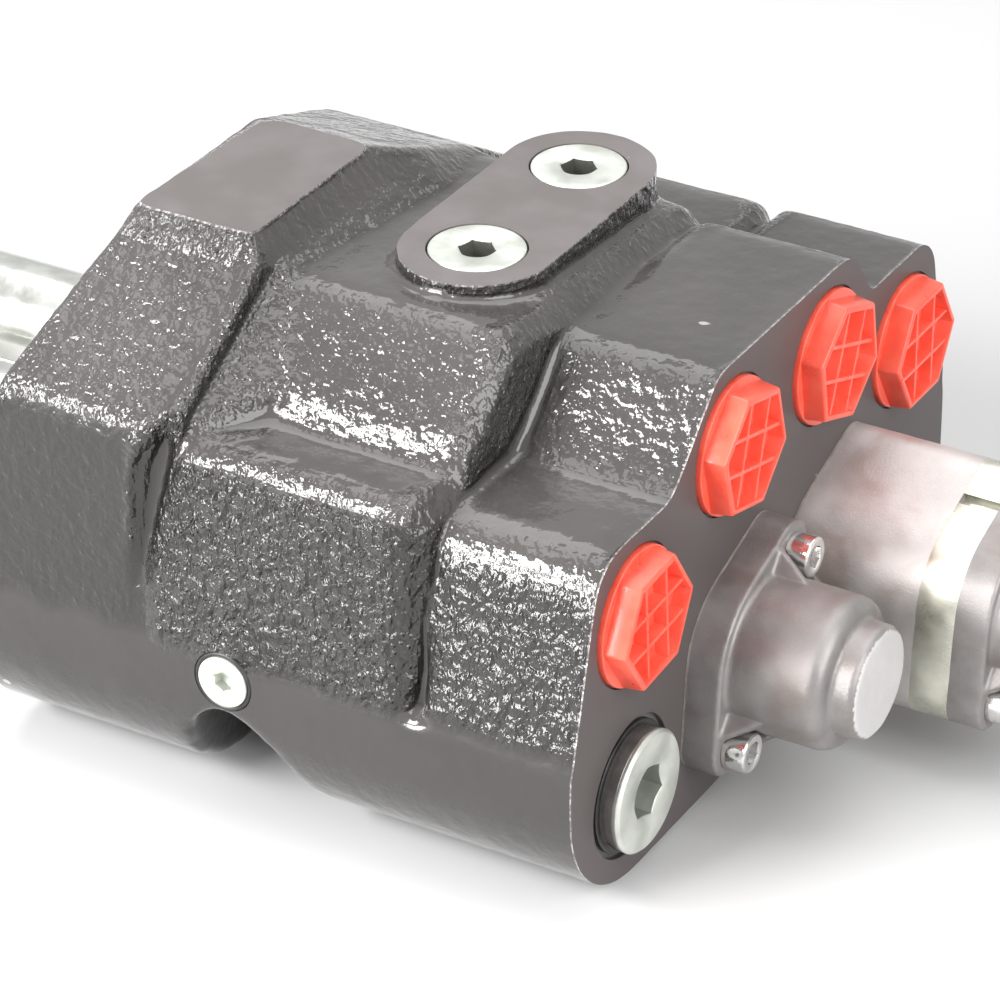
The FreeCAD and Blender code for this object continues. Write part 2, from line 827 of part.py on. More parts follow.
def spring_cap(x, y):
    """Cast cap: two-bolt flange, barrel with a raised end boss, and lugs to the screws."""
    centre = V(x, y, spool_height)
    cap = flange_plan(x, y, flange_thickness)
    barrel = rod(cap_radius, centre, X, cap_barrel_length)
    barrel = barrel.makeFillet(cap_barrel_round, [e for e in barrel.Edges if e.BoundBox.XMin > x + 1])
    nose = rod(cap_boss_radius, centre, X, cap_length)
    nose = nose.makeChamfer(cap_nose_chamfer, [e for e in nose.Edges if e.BoundBox.XMin > x + 1])
    pads = []
    for sy, sz in screw_places(y):
        out = V(0, sy - y, sz - spool_height).normalize()
        side = X.cross(out)
        root = centre + out * (cap_radius - lug_root) + X * flange_thickness
        for way in (-1, 1):
            at = root + side * (way * (screw_head_radius + lug_gap) - lug_width / 2)
            tip = at + out * lug_reach
            wedge = Part.makePolygon([at, tip, at + X * lug_rise, at])
            pads.append(Part.Face(wedge).extrude(side * lug_width))
    cap = cap.fuse([barrel, nose] + pads)
    cuts = [rod(cavity_radius, centre, X, cap_length - cap_wall)]
    for sy, sz in screw_places(y):
        cuts.append(rod(screw_head_radius + 0.5, V(x + flange_thickness, sy, sz), X, cap_length))
    cap = cap.cut(cuts + screw_clearances(x, y, cap_length))
    return cap.removeSplitter()


def cap_screws(seat_x, y, grip, direction=X):
    """A pair of socket head screws, heads on seat_x, pointing against direction."""
    pair = []
    for sy, sz in screw_places(y):
        seat = V(seat_x, sy, sz)
        head = rod(screw_head_radius, seat, direction, screw_head_height)
        shank = rod(screw_shank_radius - fit_gap, seat, -direction, grip + screw_engagement)
        socket = hexagon(seat + direction * (screw_head_height - screw_socket_depth), direction,
                         screw_socket_flats, screw_socket_depth + 1)
        pair.append(head.fuse(shank).cut(socket).removeSplitter())
    return Part.makeCompound(pair)


# Spool assemblies

def metering_notches(y):
    """Half-round notches at the land edges that open the work ports gently."""
    cuts = []
    edges = ((work_a_x + gallery_half_width + 2, -1), (work_b_x - gallery_half_width - 2, 1))
    for x, way in edges:
        start = V(x - way, y, spool_height + spool_radius)
        cuts.append(rod(metering_notch_radius, start, X * way, metering_notch_length))
    return cuts


def spool_necks():
    a, b = work_a_x, work_b_x
    half = gallery_half_width + 2
    return ((tank_x - 1, a - half), (a + half, bridge_x - 1),
            (bridge_x + 5, b - half), (b + half, b + half + 9))


def spool(y):
    """Sliding spool with lands, necks and metering notches."""
    start = V(left_face - spool_end_reach, y, spool_height)
    body = rod(spool_radius, start, X, body_length + 2 * spool_end_reach)
    cuts = []
    for x_low, x_high in spool_necks():
        at = V(x_low, y, spool_height)
        cuts.append(tube(spool_radius + 1, spool_neck_radius, at, X, x_high - x_low))
    cuts += metering_notches(y)
    for end, way in ((start, X), (start + X * (body_length + 2 * spool_end_reach), -X)):
        cuts.append(rod(stud_radius, end, way, stud_length + 2))
    return body.cut(cuts).removeSplitter()


def tail_rod(y, collar_x, shoulder_x=None):
    """Stem screwed into the spool's end that carries the centring collar."""
    start = right_face + spool_end_reach
    body = rod(rod_radius, V(start, y, spool_height), X, collar_x - start)
    stud_start = V(start - stud_length, y, spool_height)
    body = body.fuse(rod(stud_radius - fit_gap, stud_start, X, stud_length + 1))
    if shoulder_x is not None:
        body = body.fuse(rod(feel_shoulder_radius, V(shoulder_x, y, spool_height), X,
                             feel_shoulder_thickness))
    thread = rod(screw_shank_radius, V(collar_x, y, spool_height), -X, screw_engagement)
    return body.cut(thread).removeSplitter()


def collar(y, x):
    return tube(collar_radius, screw_shank_radius + fit_gap, V(x, y, spool_height), X,
                collar_thickness)


def collar_screw(y, x):
    seat = V(x + collar_thickness, y, spool_height)
    head = rod(screw_head_radius, seat, X, collar_screw_head)
    shank = rod(screw_shank_radius - fit_gap, seat, -X, collar_thickness + 10)
    socket = hexagon(seat + X * 2, X, collar_screw_flats, 4)
    return head.fuse(shank).cut(socket).removeSplitter()


def seal_ring(face, y, direction):
    """Lip seal in the counterbore at one end of the spool bore."""
    return tube(seal_outer_radius - fit_gap, spool_radius + 2 * fit_gap, V(face, y, spool_height),
                direction, seal_depth - 0.1)


def seal_washer(y):
    """Washer that keeps the seal in and carries the inner centring spring."""
    return tube(washer_radius, spool_radius + 0.3, V(right_face, y, spool_height), X,
                washer_thickness)


# Left end

def cover_flange(y):
    """Cast flange that holds the sleeve, bolted on the left face."""
    x = left_face
    flange = flange_plan(x, y, cover_flange_thickness, -X)
    cuts = [rod(sleeve_bore_radius, V(x + 1, y, spool_height), -X, cover_flange_thickness + 2)]
    cuts.append(rod(sleeve_radius + fit_gap, V(x - sleeve_pocket, y, spool_height), -X,
                    cover_flange_thickness))
    outer = x - cover_flange_thickness
    return flange.cut(cuts + screw_clearances(outer, y, cover_flange_thickness + 1))


def sleeve(y):
    x = left_face - sleeve_pocket
    shell = tube(sleeve_radius, sleeve_bore_radius, V(x, y, spool_height), -X, sleeve_length)
    rim = [e for e in shell.Edges
           if e.BoundBox.XMax < x - sleeve_length + 0.1 and e.BoundBox.ZMax > spool_height + 13]
    return shell.makeChamfer(sleeve_chamfer, rim)


def guide_bush(y):
    x = left_face - sleeve_pocket - sleeve_length
    return tube(sleeve_bore_radius - fit_gap, link_radius + fit_gap, V(x, y, spool_height), X, bush_length)


def link_rod(y):
    """Rod screwed to the spool, guided in the bush, with a flat tongue outside."""
    start = V(left_face - spool_end_reach, y, spool_height)
    sleeve_end = left_face - sleeve_pocket - sleeve_length
    length = start.x - sleeve_end + link_reach
    body = rod(link_radius, start, -X, length)
    body = body.fuse(rod(spool_radius - 0.5, start, -X, link_collar_length))
    body = body.fuse(rod(stud_radius - fit_gap, start, X, stud_length))
    tip = V(start.x - length, y, spool_height)
    flats = []
    for way in (-1, 1):
        low = tongue_half_thickness if way > 0 else -tongue_half_thickness - 10
        flats.append(Part.makeBox(tongue_length + 1, 10, 20, V(tip.x - 1, y + low, spool_height - 10)))
    hole = rod(tongue_hole_radius, V(tip.x + tongue_length / 2, y - 10, spool_height), Y, 20)
    return body.cut(flats + [hole]).removeSplitter()


# Load checks

def check_plug(y):
    floor = boss_top - check_head_height
    head = rod(check_head_radius, V(check_x, y, floor), Z, check_head_height)
    bottom = V(check_x, y, floor - check_plug_depth)
    thread = rod(check_bore_radius - fit_gap, bottom, Z, check_plug_depth)
    guide = rod(check_stem_radius + 0.1, bottom, Z, check_plug_depth - check_guide_roof)
    socket = hexagon(V(check_x, y, boss_top - check_socket_depth), Z, check_socket_flats,
                     check_socket_depth + 1, check_socket_turn)
    return head.fuse(thread).cut([guide, socket]).removeSplitter()


def check_poppet(y):
    """Seat cone under a disc, with the stem that slides in the plug."""
    tip = V(check_x, y, check_seat_height - check_cone_seating)
    cone = Part.makeCone(check_tip_radius, check_disc_radius, check_cone_height, tip, Z)
    disc_start = tip + Z * check_cone_height
    disc = rod(check_disc_radius, disc_start, Z, check_disc_thickness)
    stem = rod(check_stem_radius, disc_start + Z * check_disc_thickness, Z, check_stem_length)
    return cone.fuse([disc, stem]).removeSplitter()


def check_spring(y):
    disc_top = check_seat_height - check_cone_seating + check_cone_height + check_disc_thickness
    start = disc_top + spring_gap
    top = boss_top - check_head_height - check_plug_depth - spring_gap
    return spring(V(check_x, y, start), Z, top - start, check_spring_radius, check_spring_wire, 5)


# Relief valve

def relief_plug():
    face = V(right_face, relief_y, relief_z)
    head = rod(relief_head_radius, face, X, relief_head_height)
    rim = [e for e in head.Edges if e.BoundBox.XMin > right_face + 1 and len(e.Vertexes) == 1]
    head = head.makeChamfer(relief_rim_chamfer, rim)
    thread = rod(relief_thread_radius, face, -X, relief_thread_length)
    bore = rod(relief_guide_radius - 0.4, face - X * relief_thread_length, X, relief_bore_depth)
    socket = hexagon(face + X * (relief_head_height - relief_socket_depth), X,
                     relief_socket_flats, relief_socket_depth + 1, relief_socket_turn)
    return head.fuse(thread).cut([bore, socket]).removeSplitter()


def relief_washer():
    face = V(right_face, relief_y, relief_z)
    return tube(relief_head_radius + 1.2, relief_thread_radius + fit_gap, face, -X,
                relief_spotface_depth)


def relief_seat():
    start = V(relief_seat_x - relief_seat_length, relief_y, relief_z)
    return tube(relief_guide_radius - fit_gap, relief_seat_bore, start, X, relief_seat_length)


def relief_poppet():
    start = V(relief_seat_x - 2, relief_y, relief_z)
    cone = Part.makeCone(0.95, 0.95 + relief_cone_length, relief_cone_length, start, X)
    skirt_start = start + X * relief_cone_length
    skirt = rod(relief_guide_radius - 0.05, skirt_start, X, relief_skirt_length)
    stub = rod(relief_stub_radius, skirt_start + X * relief_skirt_length, X, relief_stub_length)
    return cone.fuse([skirt, stub]).removeSplitter()


def relief_spring():
    start = relief_seat_x - 2 + relief_cone_length + relief_skirt_length + spring_gap
    end = right_face - relief_thread_length + relief_bore_depth - spring_gap
    return spring(V(start, relief_y, relief_z), X, end - start, relief_spring_radius,
                  relief_spring_wire, 6)


# Plugs and caps

def gallery_plug():
    top = -near_half_width - casting_inset - 0.3
    seat = top + gallery_plug_head
    head = rod(gallery_plug_radius, V(gallery_plug_x, top, spool_height), Y, seat - top)
    thread = rod(gallery_plug_thread, V(gallery_plug_x, seat, spool_height), Y, gallery_thread_length)
    socket = hexagon(V(gallery_plug_x, top - 1, spool_height), Y, gallery_socket_flats,
                     gallery_socket_depth + 1)
    return head.fuse(thread).cut(socket).removeSplitter()


def gallery_ring():
    at = V(gallery_plug_x, -near_half_width - casting_inset + 0.6, spool_height)
    return ring(at, Y, gallery_plug_radius + gallery_ring_section + 0.02, gallery_ring_section)


def port_cap(turn):
    """Moulded cap about +Z: threaded stud, round skirt, ribbed hexagon head."""
    bottom = V(0, 0, -port_recess_depth)
    skirt = rod(cap_skirt_radius, bottom, Z, port_recess_depth + cap_skirt_height)
    stud = rod(port_thread_radius - fit_gap, bottom, -Z, port_stud_length)
    flats, height = cap_hex_flats, cap_hex_height
    head = hexagon(V(0, 0, cap_skirt_height), Z, flats, height)
    floor = cap_skirt_height + cap_floor
    recess = hexagon(V(0, 0, floor), Z, flats - 2 * cap_hex_wall, height)
    reach = flats / 2 + 3
    half = rib_thickness / 2
    ribs = []
    for way in (-1, 1):
        a, b = way * rib_offsets[0], way * rib_offsets[1]
        ribs.append(Part.makeBox(2 * reach, rib_thickness, height, V(-reach, a - half, floor - 0.6)))
        ribs.append(Part.makeBox(rib_thickness, 2 * reach, height, V(b - half, -reach, floor - 0.6)))
    inner = hexagon(V(0, 0, floor - 0.6), Z, flats - cap_hex_wall, height - 0.6)
    web = ribs[0].fuse(ribs[1:]).common(inner)
    cap = skirt.fuse([stud, head.cut(recess), web]).removeSplitter()
    cap.rotate(V(0, 0, 0), Z, turn)
    return cap


def placed_cap(turn, at, direction):
    cap = port_cap(0)
    side = Y if abs(direction.x) > 0.5 else -X
    angle = math.radians(turn)
    lean = side * math.cos(angle) + Z * math.sin(angle)
    cap.Placement = FreeCAD.Placement(at, FreeCAD.Rotation(lean, V(), direction, "ZXY"))
    return cap


def spacer(y):
    x = right_face + gasket_thickness
    block = flange_plan(x, y, spacer_length)
    cuts = [rod(cavity_radius, V(x - 1, y, spool_height), X, spacer_length + 2)]
    return block.cut(cuts + screw_clearances(x - 1, y, spacer_length + 2))


def stop_plate(x, y):
    block = flange_plan(x, y, plate_thickness)
    notch_at = V(x - 1, y + plate_notch_side, spool_height + flange_core_radius + plate_notch_rise)
    notch = rod(plate_notch_radius, notch_at, X, plate_thickness + 2)
    cuts = [rod(rod_radius + fit_gap, V(x - 1, y, spool_height), X, plate_thickness + 2), notch]
    return block.cut(cuts + screw_clearances(x - 1, y, plate_thickness + 2))


# Write every piece

save("valve_body", valve_body())

for number, y in spool_sides.items():
    save("spool_" + number, spool(y))
    seals = [seal_ring(left_face, y, X), seal_ring(right_face, y, -X)]
    save("spool_seals_" + number, Part.makeCompound(seals))
    save("seal_washer_" + number, seal_washer(y))
    save("cover_flange_" + number, cover_flange(y))
    save("cover_screws_" + number,
         cap_screws(left_face - cover_flange_thickness, y, cover_flange_thickness, -X))
    save("rod_sleeve_" + number, sleeve(y))
    save("rod_bush_" + number, guide_bush(y))
    save("link_rod_" + number, link_rod(y))
    save("load_check_plug_" + number, check_plug(y))
    save("load_check_poppet_" + number, check_poppet(y))
    save("load_check_spring_" + number, check_spring(y))
    save("cap_gasket_" + number, gasket(right_face, y))

cap_faces = {"1": right_face + gasket_thickness,
             "2": right_face + gasket_thickness + spacer_length + plate_thickness}
far_y = spool_sides["2"]
save("spacer_housing", spacer(far_y))
plate_x = cap_faces["2"] - plate_thickness
save("stop_plate", stop_plate(plate_x, far_y))
shoulder_x = right_face + feel_shoulder_offset
feel_start = shoulder_x + feel_shoulder_thickness + spring_gap
save("feel_spring", spring(V(feel_start, far_y, spool_height), X,
                           plate_x - spring_gap - feel_start, spring_radius,
                           spring_wire_radius, 5))

for number, face in cap_faces.items():
    y = spool_sides[number]
    collar_x = face + collar_gap
    save("spring_cap_" + number, spring_cap(face, y))
    save("cap_screws_" + number,
         cap_screws(face + flange_thickness, y, face + flange_thickness - right_face))
    save("tail_rod_" + number, tail_rod(y, collar_x, shoulder_x if number == "2" else None))
    save("centring_collar_" + number, collar(y, collar_x))
    save("collar_screw_" + number, collar_screw(y, collar_x))
    inner_seat = face if number == "2" else right_face + washer_thickness
    inner_start = inner_seat + spring_gap
    save("centring_spring_inner_" + number,
         spring(V(inner_start, y, spool_height), X, collar_x - spring_gap - inner_start,
                inner_spring_radius, spring_wire_radius, 3))
    outer_start = collar_x + collar_thickness + spring_gap
    outer_end = face + cap_length - cap_wall - spring_gap
    save("centring_spring_outer_" + number,
         spring(V(outer_start, y, spool_height), X, outer_end - outer_start,
                spring_radius, spring_wire_radius, 3))

save("relief_plug", relief_plug())
save("relief_washer", relief_washer())
save("relief_seat", relief_seat())
save("relief_poppet", relief_poppet())
save("relief_spring", relief_spring())
save("gallery_plug", gallery_plug())
save("gallery_plug_ring", gallery_ring())

for name, (y, z, turn) in work_ports().items():
    save("port_cap_" + name, placed_cap(turn, V(right_face, y, z), X))
far_face = far_half_width + casting_inset - far_spotface_depth + port_recess_depth
save("inlet_cap", placed_cap(0, V(check_x, far_face, inlet_height), Y))
save("return_cap", placed_cap(0, V(tank_x, far_face, spool_height), Y))
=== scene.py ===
import bmesh
import bpy
import json
import numpy as np
from math import acos, cos, pi, radians, sin
from mathutils import Matrix, Vector, noise
from mathutils.bvhtree import BVHTree
from mathutils.kdtree import KDTree

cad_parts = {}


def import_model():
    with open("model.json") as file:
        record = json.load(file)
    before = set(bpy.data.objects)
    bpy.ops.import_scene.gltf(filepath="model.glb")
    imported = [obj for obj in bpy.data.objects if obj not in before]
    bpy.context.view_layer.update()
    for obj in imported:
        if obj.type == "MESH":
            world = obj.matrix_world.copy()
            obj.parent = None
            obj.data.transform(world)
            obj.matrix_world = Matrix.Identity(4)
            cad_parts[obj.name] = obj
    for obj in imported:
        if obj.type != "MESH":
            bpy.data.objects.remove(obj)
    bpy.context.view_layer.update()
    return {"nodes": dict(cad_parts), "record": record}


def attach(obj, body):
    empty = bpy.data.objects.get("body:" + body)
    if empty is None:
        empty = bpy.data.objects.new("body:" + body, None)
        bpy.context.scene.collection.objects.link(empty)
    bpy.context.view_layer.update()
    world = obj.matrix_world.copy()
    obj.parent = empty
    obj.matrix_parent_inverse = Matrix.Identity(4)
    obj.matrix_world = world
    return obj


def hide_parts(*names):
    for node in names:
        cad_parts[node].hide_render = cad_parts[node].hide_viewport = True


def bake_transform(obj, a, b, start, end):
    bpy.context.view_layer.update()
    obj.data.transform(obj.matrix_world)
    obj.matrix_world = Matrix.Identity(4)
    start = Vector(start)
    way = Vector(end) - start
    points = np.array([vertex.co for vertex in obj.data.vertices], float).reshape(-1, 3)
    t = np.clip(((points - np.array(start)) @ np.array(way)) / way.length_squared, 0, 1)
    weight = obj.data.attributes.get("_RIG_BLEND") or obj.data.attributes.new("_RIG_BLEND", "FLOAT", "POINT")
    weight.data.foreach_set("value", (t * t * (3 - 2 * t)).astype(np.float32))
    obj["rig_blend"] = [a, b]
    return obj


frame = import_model()
mm = 0.001
X, Y, Z = Vector((1, 0, 0)), Vector((0, 1, 0)), Vector((0, 0, 1))

# Places shared with the solids, in millimetres
spool_y = {"1": -24.0, "2": 24.0}
spool_z = 40.0
right_face = 81.0
left_face = -81.0
head_top = 132.0
boss_top = 126.0
check_x = 14.0
foot_spots = [(x, y) for x in (-60, 60) for y in (-38, 38)]
screw_offset = 24.0
screw_angle = radians(51.6)
stack_start = 81.5
spacer_length = 35.0
plate_thickness = 10.0
cap_face = {"1": stack_start, "2": stack_start + spacer_length + plate_thickness}
cap_flange = 8.7
cover_thickness = 10.0
sleeve_start = left_face - 4.0
sleeve_length = 92.0
bush_length = 14.0
recess_depth = 1.2
port_depth = 18.0
relief_centre = Vector((81.0, -70.5, 25.8))
gallery_x = -11.5
near_wall = -98.3
port_places = {
    "port_cap_a1": (Vector((81.0, -69.5, 71.5)), X, 4.0),
    "port_cap_b1": (Vector((81.0, -24.0, 92.5)), X, -14.6),
    "port_cap_b2": (Vector((81.0, 24.0, 92.5)), X, -20.5),
    "port_cap_a2": (Vector((81.0, 67.0, 76.0)), X, 0.0),
    "inlet_cap": (Vector((14.0, 92.2, 58.0)), Y, 0.0),
    "return_cap": (Vector((-38.0, 92.2, 40.0)), Y, 0.0),
}

# Radii of holes and tubes, in millimetres
spool_bore = 9.02
end_recess = 12.0
ear_thread = 3.0
ear_hole = 3.3
cap_cavity = 13.0
sleeve_inner, sleeve_outer = 11.0, 15.0
check_seat, check_bore = 12.05, 10.0
port_recess, port_thread = 17.4, 9.3
relief_recess, relief_thread = 17.6, 11.02
gallery_recess, gallery_thread = 7.9, 5.02
foot_thread = 4.25


# Mesh tools

def configure(thing, **settings):
    for key, value in settings.items():
        setattr(thing, key, value)
    return thing


def link(name, data):
    made = bpy.data.objects.new(name, data)
    bpy.context.scene.collection.objects.link(made)
    return made


def evaluated(obj):
    """The object's mesh with its modifiers applied; the modifiers go."""
    graph = bpy.context.evaluated_depsgraph_get()
    mesh = bpy.data.meshes.new_from_object(obj.evaluated_get(graph), depsgraph=graph)
    obj.modifiers.clear()
    obj.data = mesh
    return obj


def from_bmesh(name, bm):
    mesh = bpy.data.meshes.new(name)
    bm.to_mesh(mesh)
    bm.free()
    return link(name, mesh)


def drop(*objects):
    for obj in objects:
        bpy.data.objects.remove(obj)


def basis(direction, turn=0.0):
    """Matrix that takes +Z to direction and +Y upwards, turned about it by turn degrees."""
    out = Vector(direction).normalized()
    up = Y if abs(out.z) > 0.5 else Z
    side = up.cross(out)
    axes = Matrix((side, up, out)).transposed().to_4x4()
    return axes @ Matrix.Rotation(radians(turn), 4, "Z")


def on_axis(x, number):
    """Point on the axis of spool number."""
    return Vector((x, spool_y[number], spool_z))


def place(obj, origin, direction, turn=0.0):
    """Moves a shape made about +Z, in millimetres, to its place, in metres."""
    matrix = Matrix.Translation(origin) @ basis(direction, turn)
    obj.data.transform(Matrix.Scale(mm, 4) @ matrix)
    return obj


def rounded(points, radius, steps=3):
    """Profile with every inner corner turned into a small arc."""
    out = [points[0]]
    for before, corner, after in zip(points, points[1:], points[2:]):
        a, b, c = Vector(before), Vector(corner), Vector(after)
        u, v = a - b, c - b
        reach = min(radius, u.length * 0.45, v.length * 0.45)
        if reach < 1e-4:
            out.append(corner)
            continue
        start, end = b + u.normalized() * reach, b + v.normalized() * reach
        for i in range(steps + 1):
            t = i / steps
            out.append(tuple(start * (1 - t) ** 2 + b * (2 * t * (1 - t)) + end * t ** 2))
    out.append(points[-1])
    return out


def rounded_loop(points, radius):
    return rounded([points[-1]] + points + [points[0]], radius, 4)[1:-1]


def lathe(name, profile, segments=72, edge=0.25):
    """Turns an (r, z) profile about +Z, with its corners eased by edge."""
    if edge:
        profile = rounded(profile, edge)
    bm = bmesh.new()
    rings = []
    for r, z in profile:
        if r < 1e-6:
            rings.append([bm.verts.new((0, 0, z))] * segments)
        else:
            rings.append([bm.verts.new((r * cos(2 * pi * k / segments),
                                        r * sin(2 * pi * k / segments), z))
                          for k in range(segments)])
    for low, high in zip(rings, rings[1:]):
        for k in range(segments):
            corners = [low[k], low[(k + 1) % segments], high[(k + 1) % segments], high[k]]
            corners = list(dict.fromkeys(corners))
            if len(corners) > 2:
                bm.faces.new(corners)
    bmesh.ops.recalc_face_normals(bm, faces=bm.faces)
    return from_bmesh(name, bm)


def rod(radius, start, end, segments=64):
    return lathe("rod", [(0, start), (radius, start), (radius, end), (0, end)], segments, 0)


def extrude(bm, faces, way):
    made = bmesh.ops.extrude_face_region(bm, geom=faces)["geom"]
    moved = [part for part in made if isinstance(part, bmesh.types.BMVert)]
    bmesh.ops.translate(bm, verts=moved, vec=way)


def prism(name, outline, low, high):
    """Straight prism over a plan outline of (x, y) points."""
    bm = bmesh.new()
    floor = bm.faces.new([bm.verts.new((x, y, low)) for x, y in outline])
    extrude(bm, [floor], (0, 0, high - low))
    bmesh.ops.recalc_face_normals(bm, faces=bm.faces)
    return from_bmesh(name, bm)


def box(low, high):
    corners = [(low[0], low[1]), (high[0], low[1]), (high[0], high[1]), (low[0], high[1])]
    return prism("box", corners, low[2], high[2])


def hex_prism(flats, low, high, turn=0.0):
    """Hexagonal prism of this width across flats."""
    radius = flats / 2 / cos(pi / 6)
    angles = [radians(turn) + 2 * pi * k / 6 for k in range(6)]
    return prism("hexagon", [(radius * cos(a), radius * sin(a)) for a in angles], low, high)


def combine(base, others, operation="DIFFERENCE", solver="EXACT", crossing=False):
    """Boolean of base with each other shape, which is then deleted."""
    for other in others:
        configure(base.modifiers.new("cut", "BOOLEAN"), operation=operation, solver=solver,
                  use_self=crossing, object=other)
    evaluated(base)
    drop(*others)
    return base


def tidy(obj, merge=0.01):
    bm = bmesh.new()
    bm.from_mesh(obj.data)
    bmesh.ops.remove_doubles(bm, verts=bm.verts, dist=merge)
    bmesh.ops.dissolve_degenerate(bm, edges=bm.edges, dist=merge / 2)
    bm.to_mesh(obj.data)
    bm.free()
    return obj


def ease_edges(obj, width, segments=2, angle=50):
    """Small round on every edge sharper than angle."""
    tidy(obj)
    configure(obj.modifiers.new("edges", "BEVEL"), width=width, segments=segments,
              limit_method="ANGLE", angle_limit=radians(angle), use_clamp_overlap=True,
              miter_outer="MITER_ARC")
    evaluated(obj)


def smooth(obj, angle=38):
    obj.data.polygons.foreach_set("use_smooth", [True] * len(obj.data.polygons))
    obj.data.set_sharp_from_angle(angle=radians(angle))
    return obj


def finished(obj, node, material, rides=True, angle=38):
    """Gives a piece its finish and, unless it is bent between two, the body of its node, and hides the
    node's own solid.
    """
    smooth(obj, angle)
    obj.data.materials.clear()
    obj.data.materials.append(material)
    if rides:
        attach(obj, body_of_node[node])
    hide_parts(node)


body_of_node = {}
for body_name, members in frame["record"]["behaviour"]["bodies"].items():
    for member in members:
        body_of_node[member] = body_name


# Materials

class Nodes:
    """A node tree with short calls for what is done often."""

    def __init__(self, tree):
        self.tree = tree

    def add(self, kind, **settings):
        return configure(self.tree.nodes.new(kind), **settings)

    def put(self, socket, value):
        if isinstance(value, bpy.types.NodeSocket):
            self.tree.links.new(value, socket)
        else:
            socket.default_value = value

    def fill(self, node, **values):
        """Puts values into the sockets of these labels, with _ for a space."""
        for label, value in values.items():
            self.put(node.inputs[label.replace("_", " ")], value)
        return node

    def wired(self, kind, **values):
        return self.fill(self.add(kind), **values)

    def math(self, operation, a, b=0.0):
        node = self.add("ShaderNodeMath", operation=operation)
        self.put(node.inputs[0], a)
        self.put(node.inputs[1], b)
        return node.outputs[0]

    def times(self, a, b):
        return self.math("MULTIPLY", a, b)

    def mix_shaders(self, factor, a, b):
        node = self.add("ShaderNodeMixShader")
        for socket, value in zip(node.inputs, (factor, a, b)):
            self.put(socket, value)
        return node.outputs[0]


class Finish(Nodes):
    """A material that starts from one Principled shader."""

    def __init__(self, name):
        self.material = bpy.data.materials.new(name)
        self.material.use_nodes = True
        super().__init__(self.material.node_tree)
        self.shader = self.tree.nodes["Principled BSDF"]
        self.place = self.add("ShaderNodeTexCoord").outputs["Object"]

    def set(self, **values):
        self.fill(self.shader, **values)

    def noise(self, size, detail=3.0, roughness=0.55, distortion=0.0, place=None):
        """Noise whose blotches are about size metres wide."""
        node = self.wired("ShaderNodeTexNoise", Vector=place or self.place, Scale=1.0 / size,
                          Detail=detail, Roughness=roughness, Distortion=distortion)
        return node.outputs["Fac"]

    def grains(self, size, place):
        """Scattered round bumps, from 0 to 1 high, on cells about size metres wide."""
        cells = self.wired("ShaderNodeTexVoronoi", Vector=place, Scale=1.0 / size)
        picked = self.ramp(self.split(cells.outputs["Color"])[0], 0.30, 0.75)
        return self.times(self.ramp(cells.outputs["Distance"], 0.42, 0.04), picked)

    def split(self, vector):
        return self.wired("ShaderNodeSeparateXYZ", Vector=vector).outputs

    def ramp(self, value, low, high, out_low=0.0, out_high=1.0):
        node = self.add("ShaderNodeMapRange", interpolation_type="SMOOTHSTEP")
        for socket, item in zip(node.inputs, (value, low, high, out_low, out_high)):
            self.put(socket, item)
        return node.outputs["Result"]

    def mix(self, factor, a, b):
        node = self.add("ShaderNodeMix", data_type="RGBA")
        self.put(node.inputs["Factor"], factor)
        self.put(node.inputs[6], a if isinstance(a, bpy.types.NodeSocket) else (*a, 1))
        self.put(node.inputs[7], b if isinstance(b, bpy.types.NodeSocket) else (*b, 1))
        return node.outputs[2]

    def attribute(self, name):
        return self.add("ShaderNodeAttribute", attribute_name=name).outputs["Fac"]

    def stretched(self, scale, centre=(0, 0, 0)):
        """Object coordinates about a centre, on which a pattern is scale times as long."""
        node = self.add("ShaderNodeMapping", vector_type="TEXTURE")
        return self.fill(node, Vector=self.place, Location=centre, Scale=scale).outputs["Vector"]

    def bump(self, height, depth, under=None):
        """Bump whose height of 0 to 1 stands for depth metres."""
        node = self.wired("ShaderNodeBump", Strength=1.0, Distance=depth, Height=height)
        if under is not None:
            self.put(node.inputs["Normal"], under)
        return node.outputs["Normal"]


def near_face(f, along, level):
    """1 in the last third of a millimetre before the milled face at level, where a highlight is painted on
    the edge.
    """
    return f.ramp(along, (level - 0.48) * mm, (level - 0.34) * mm)


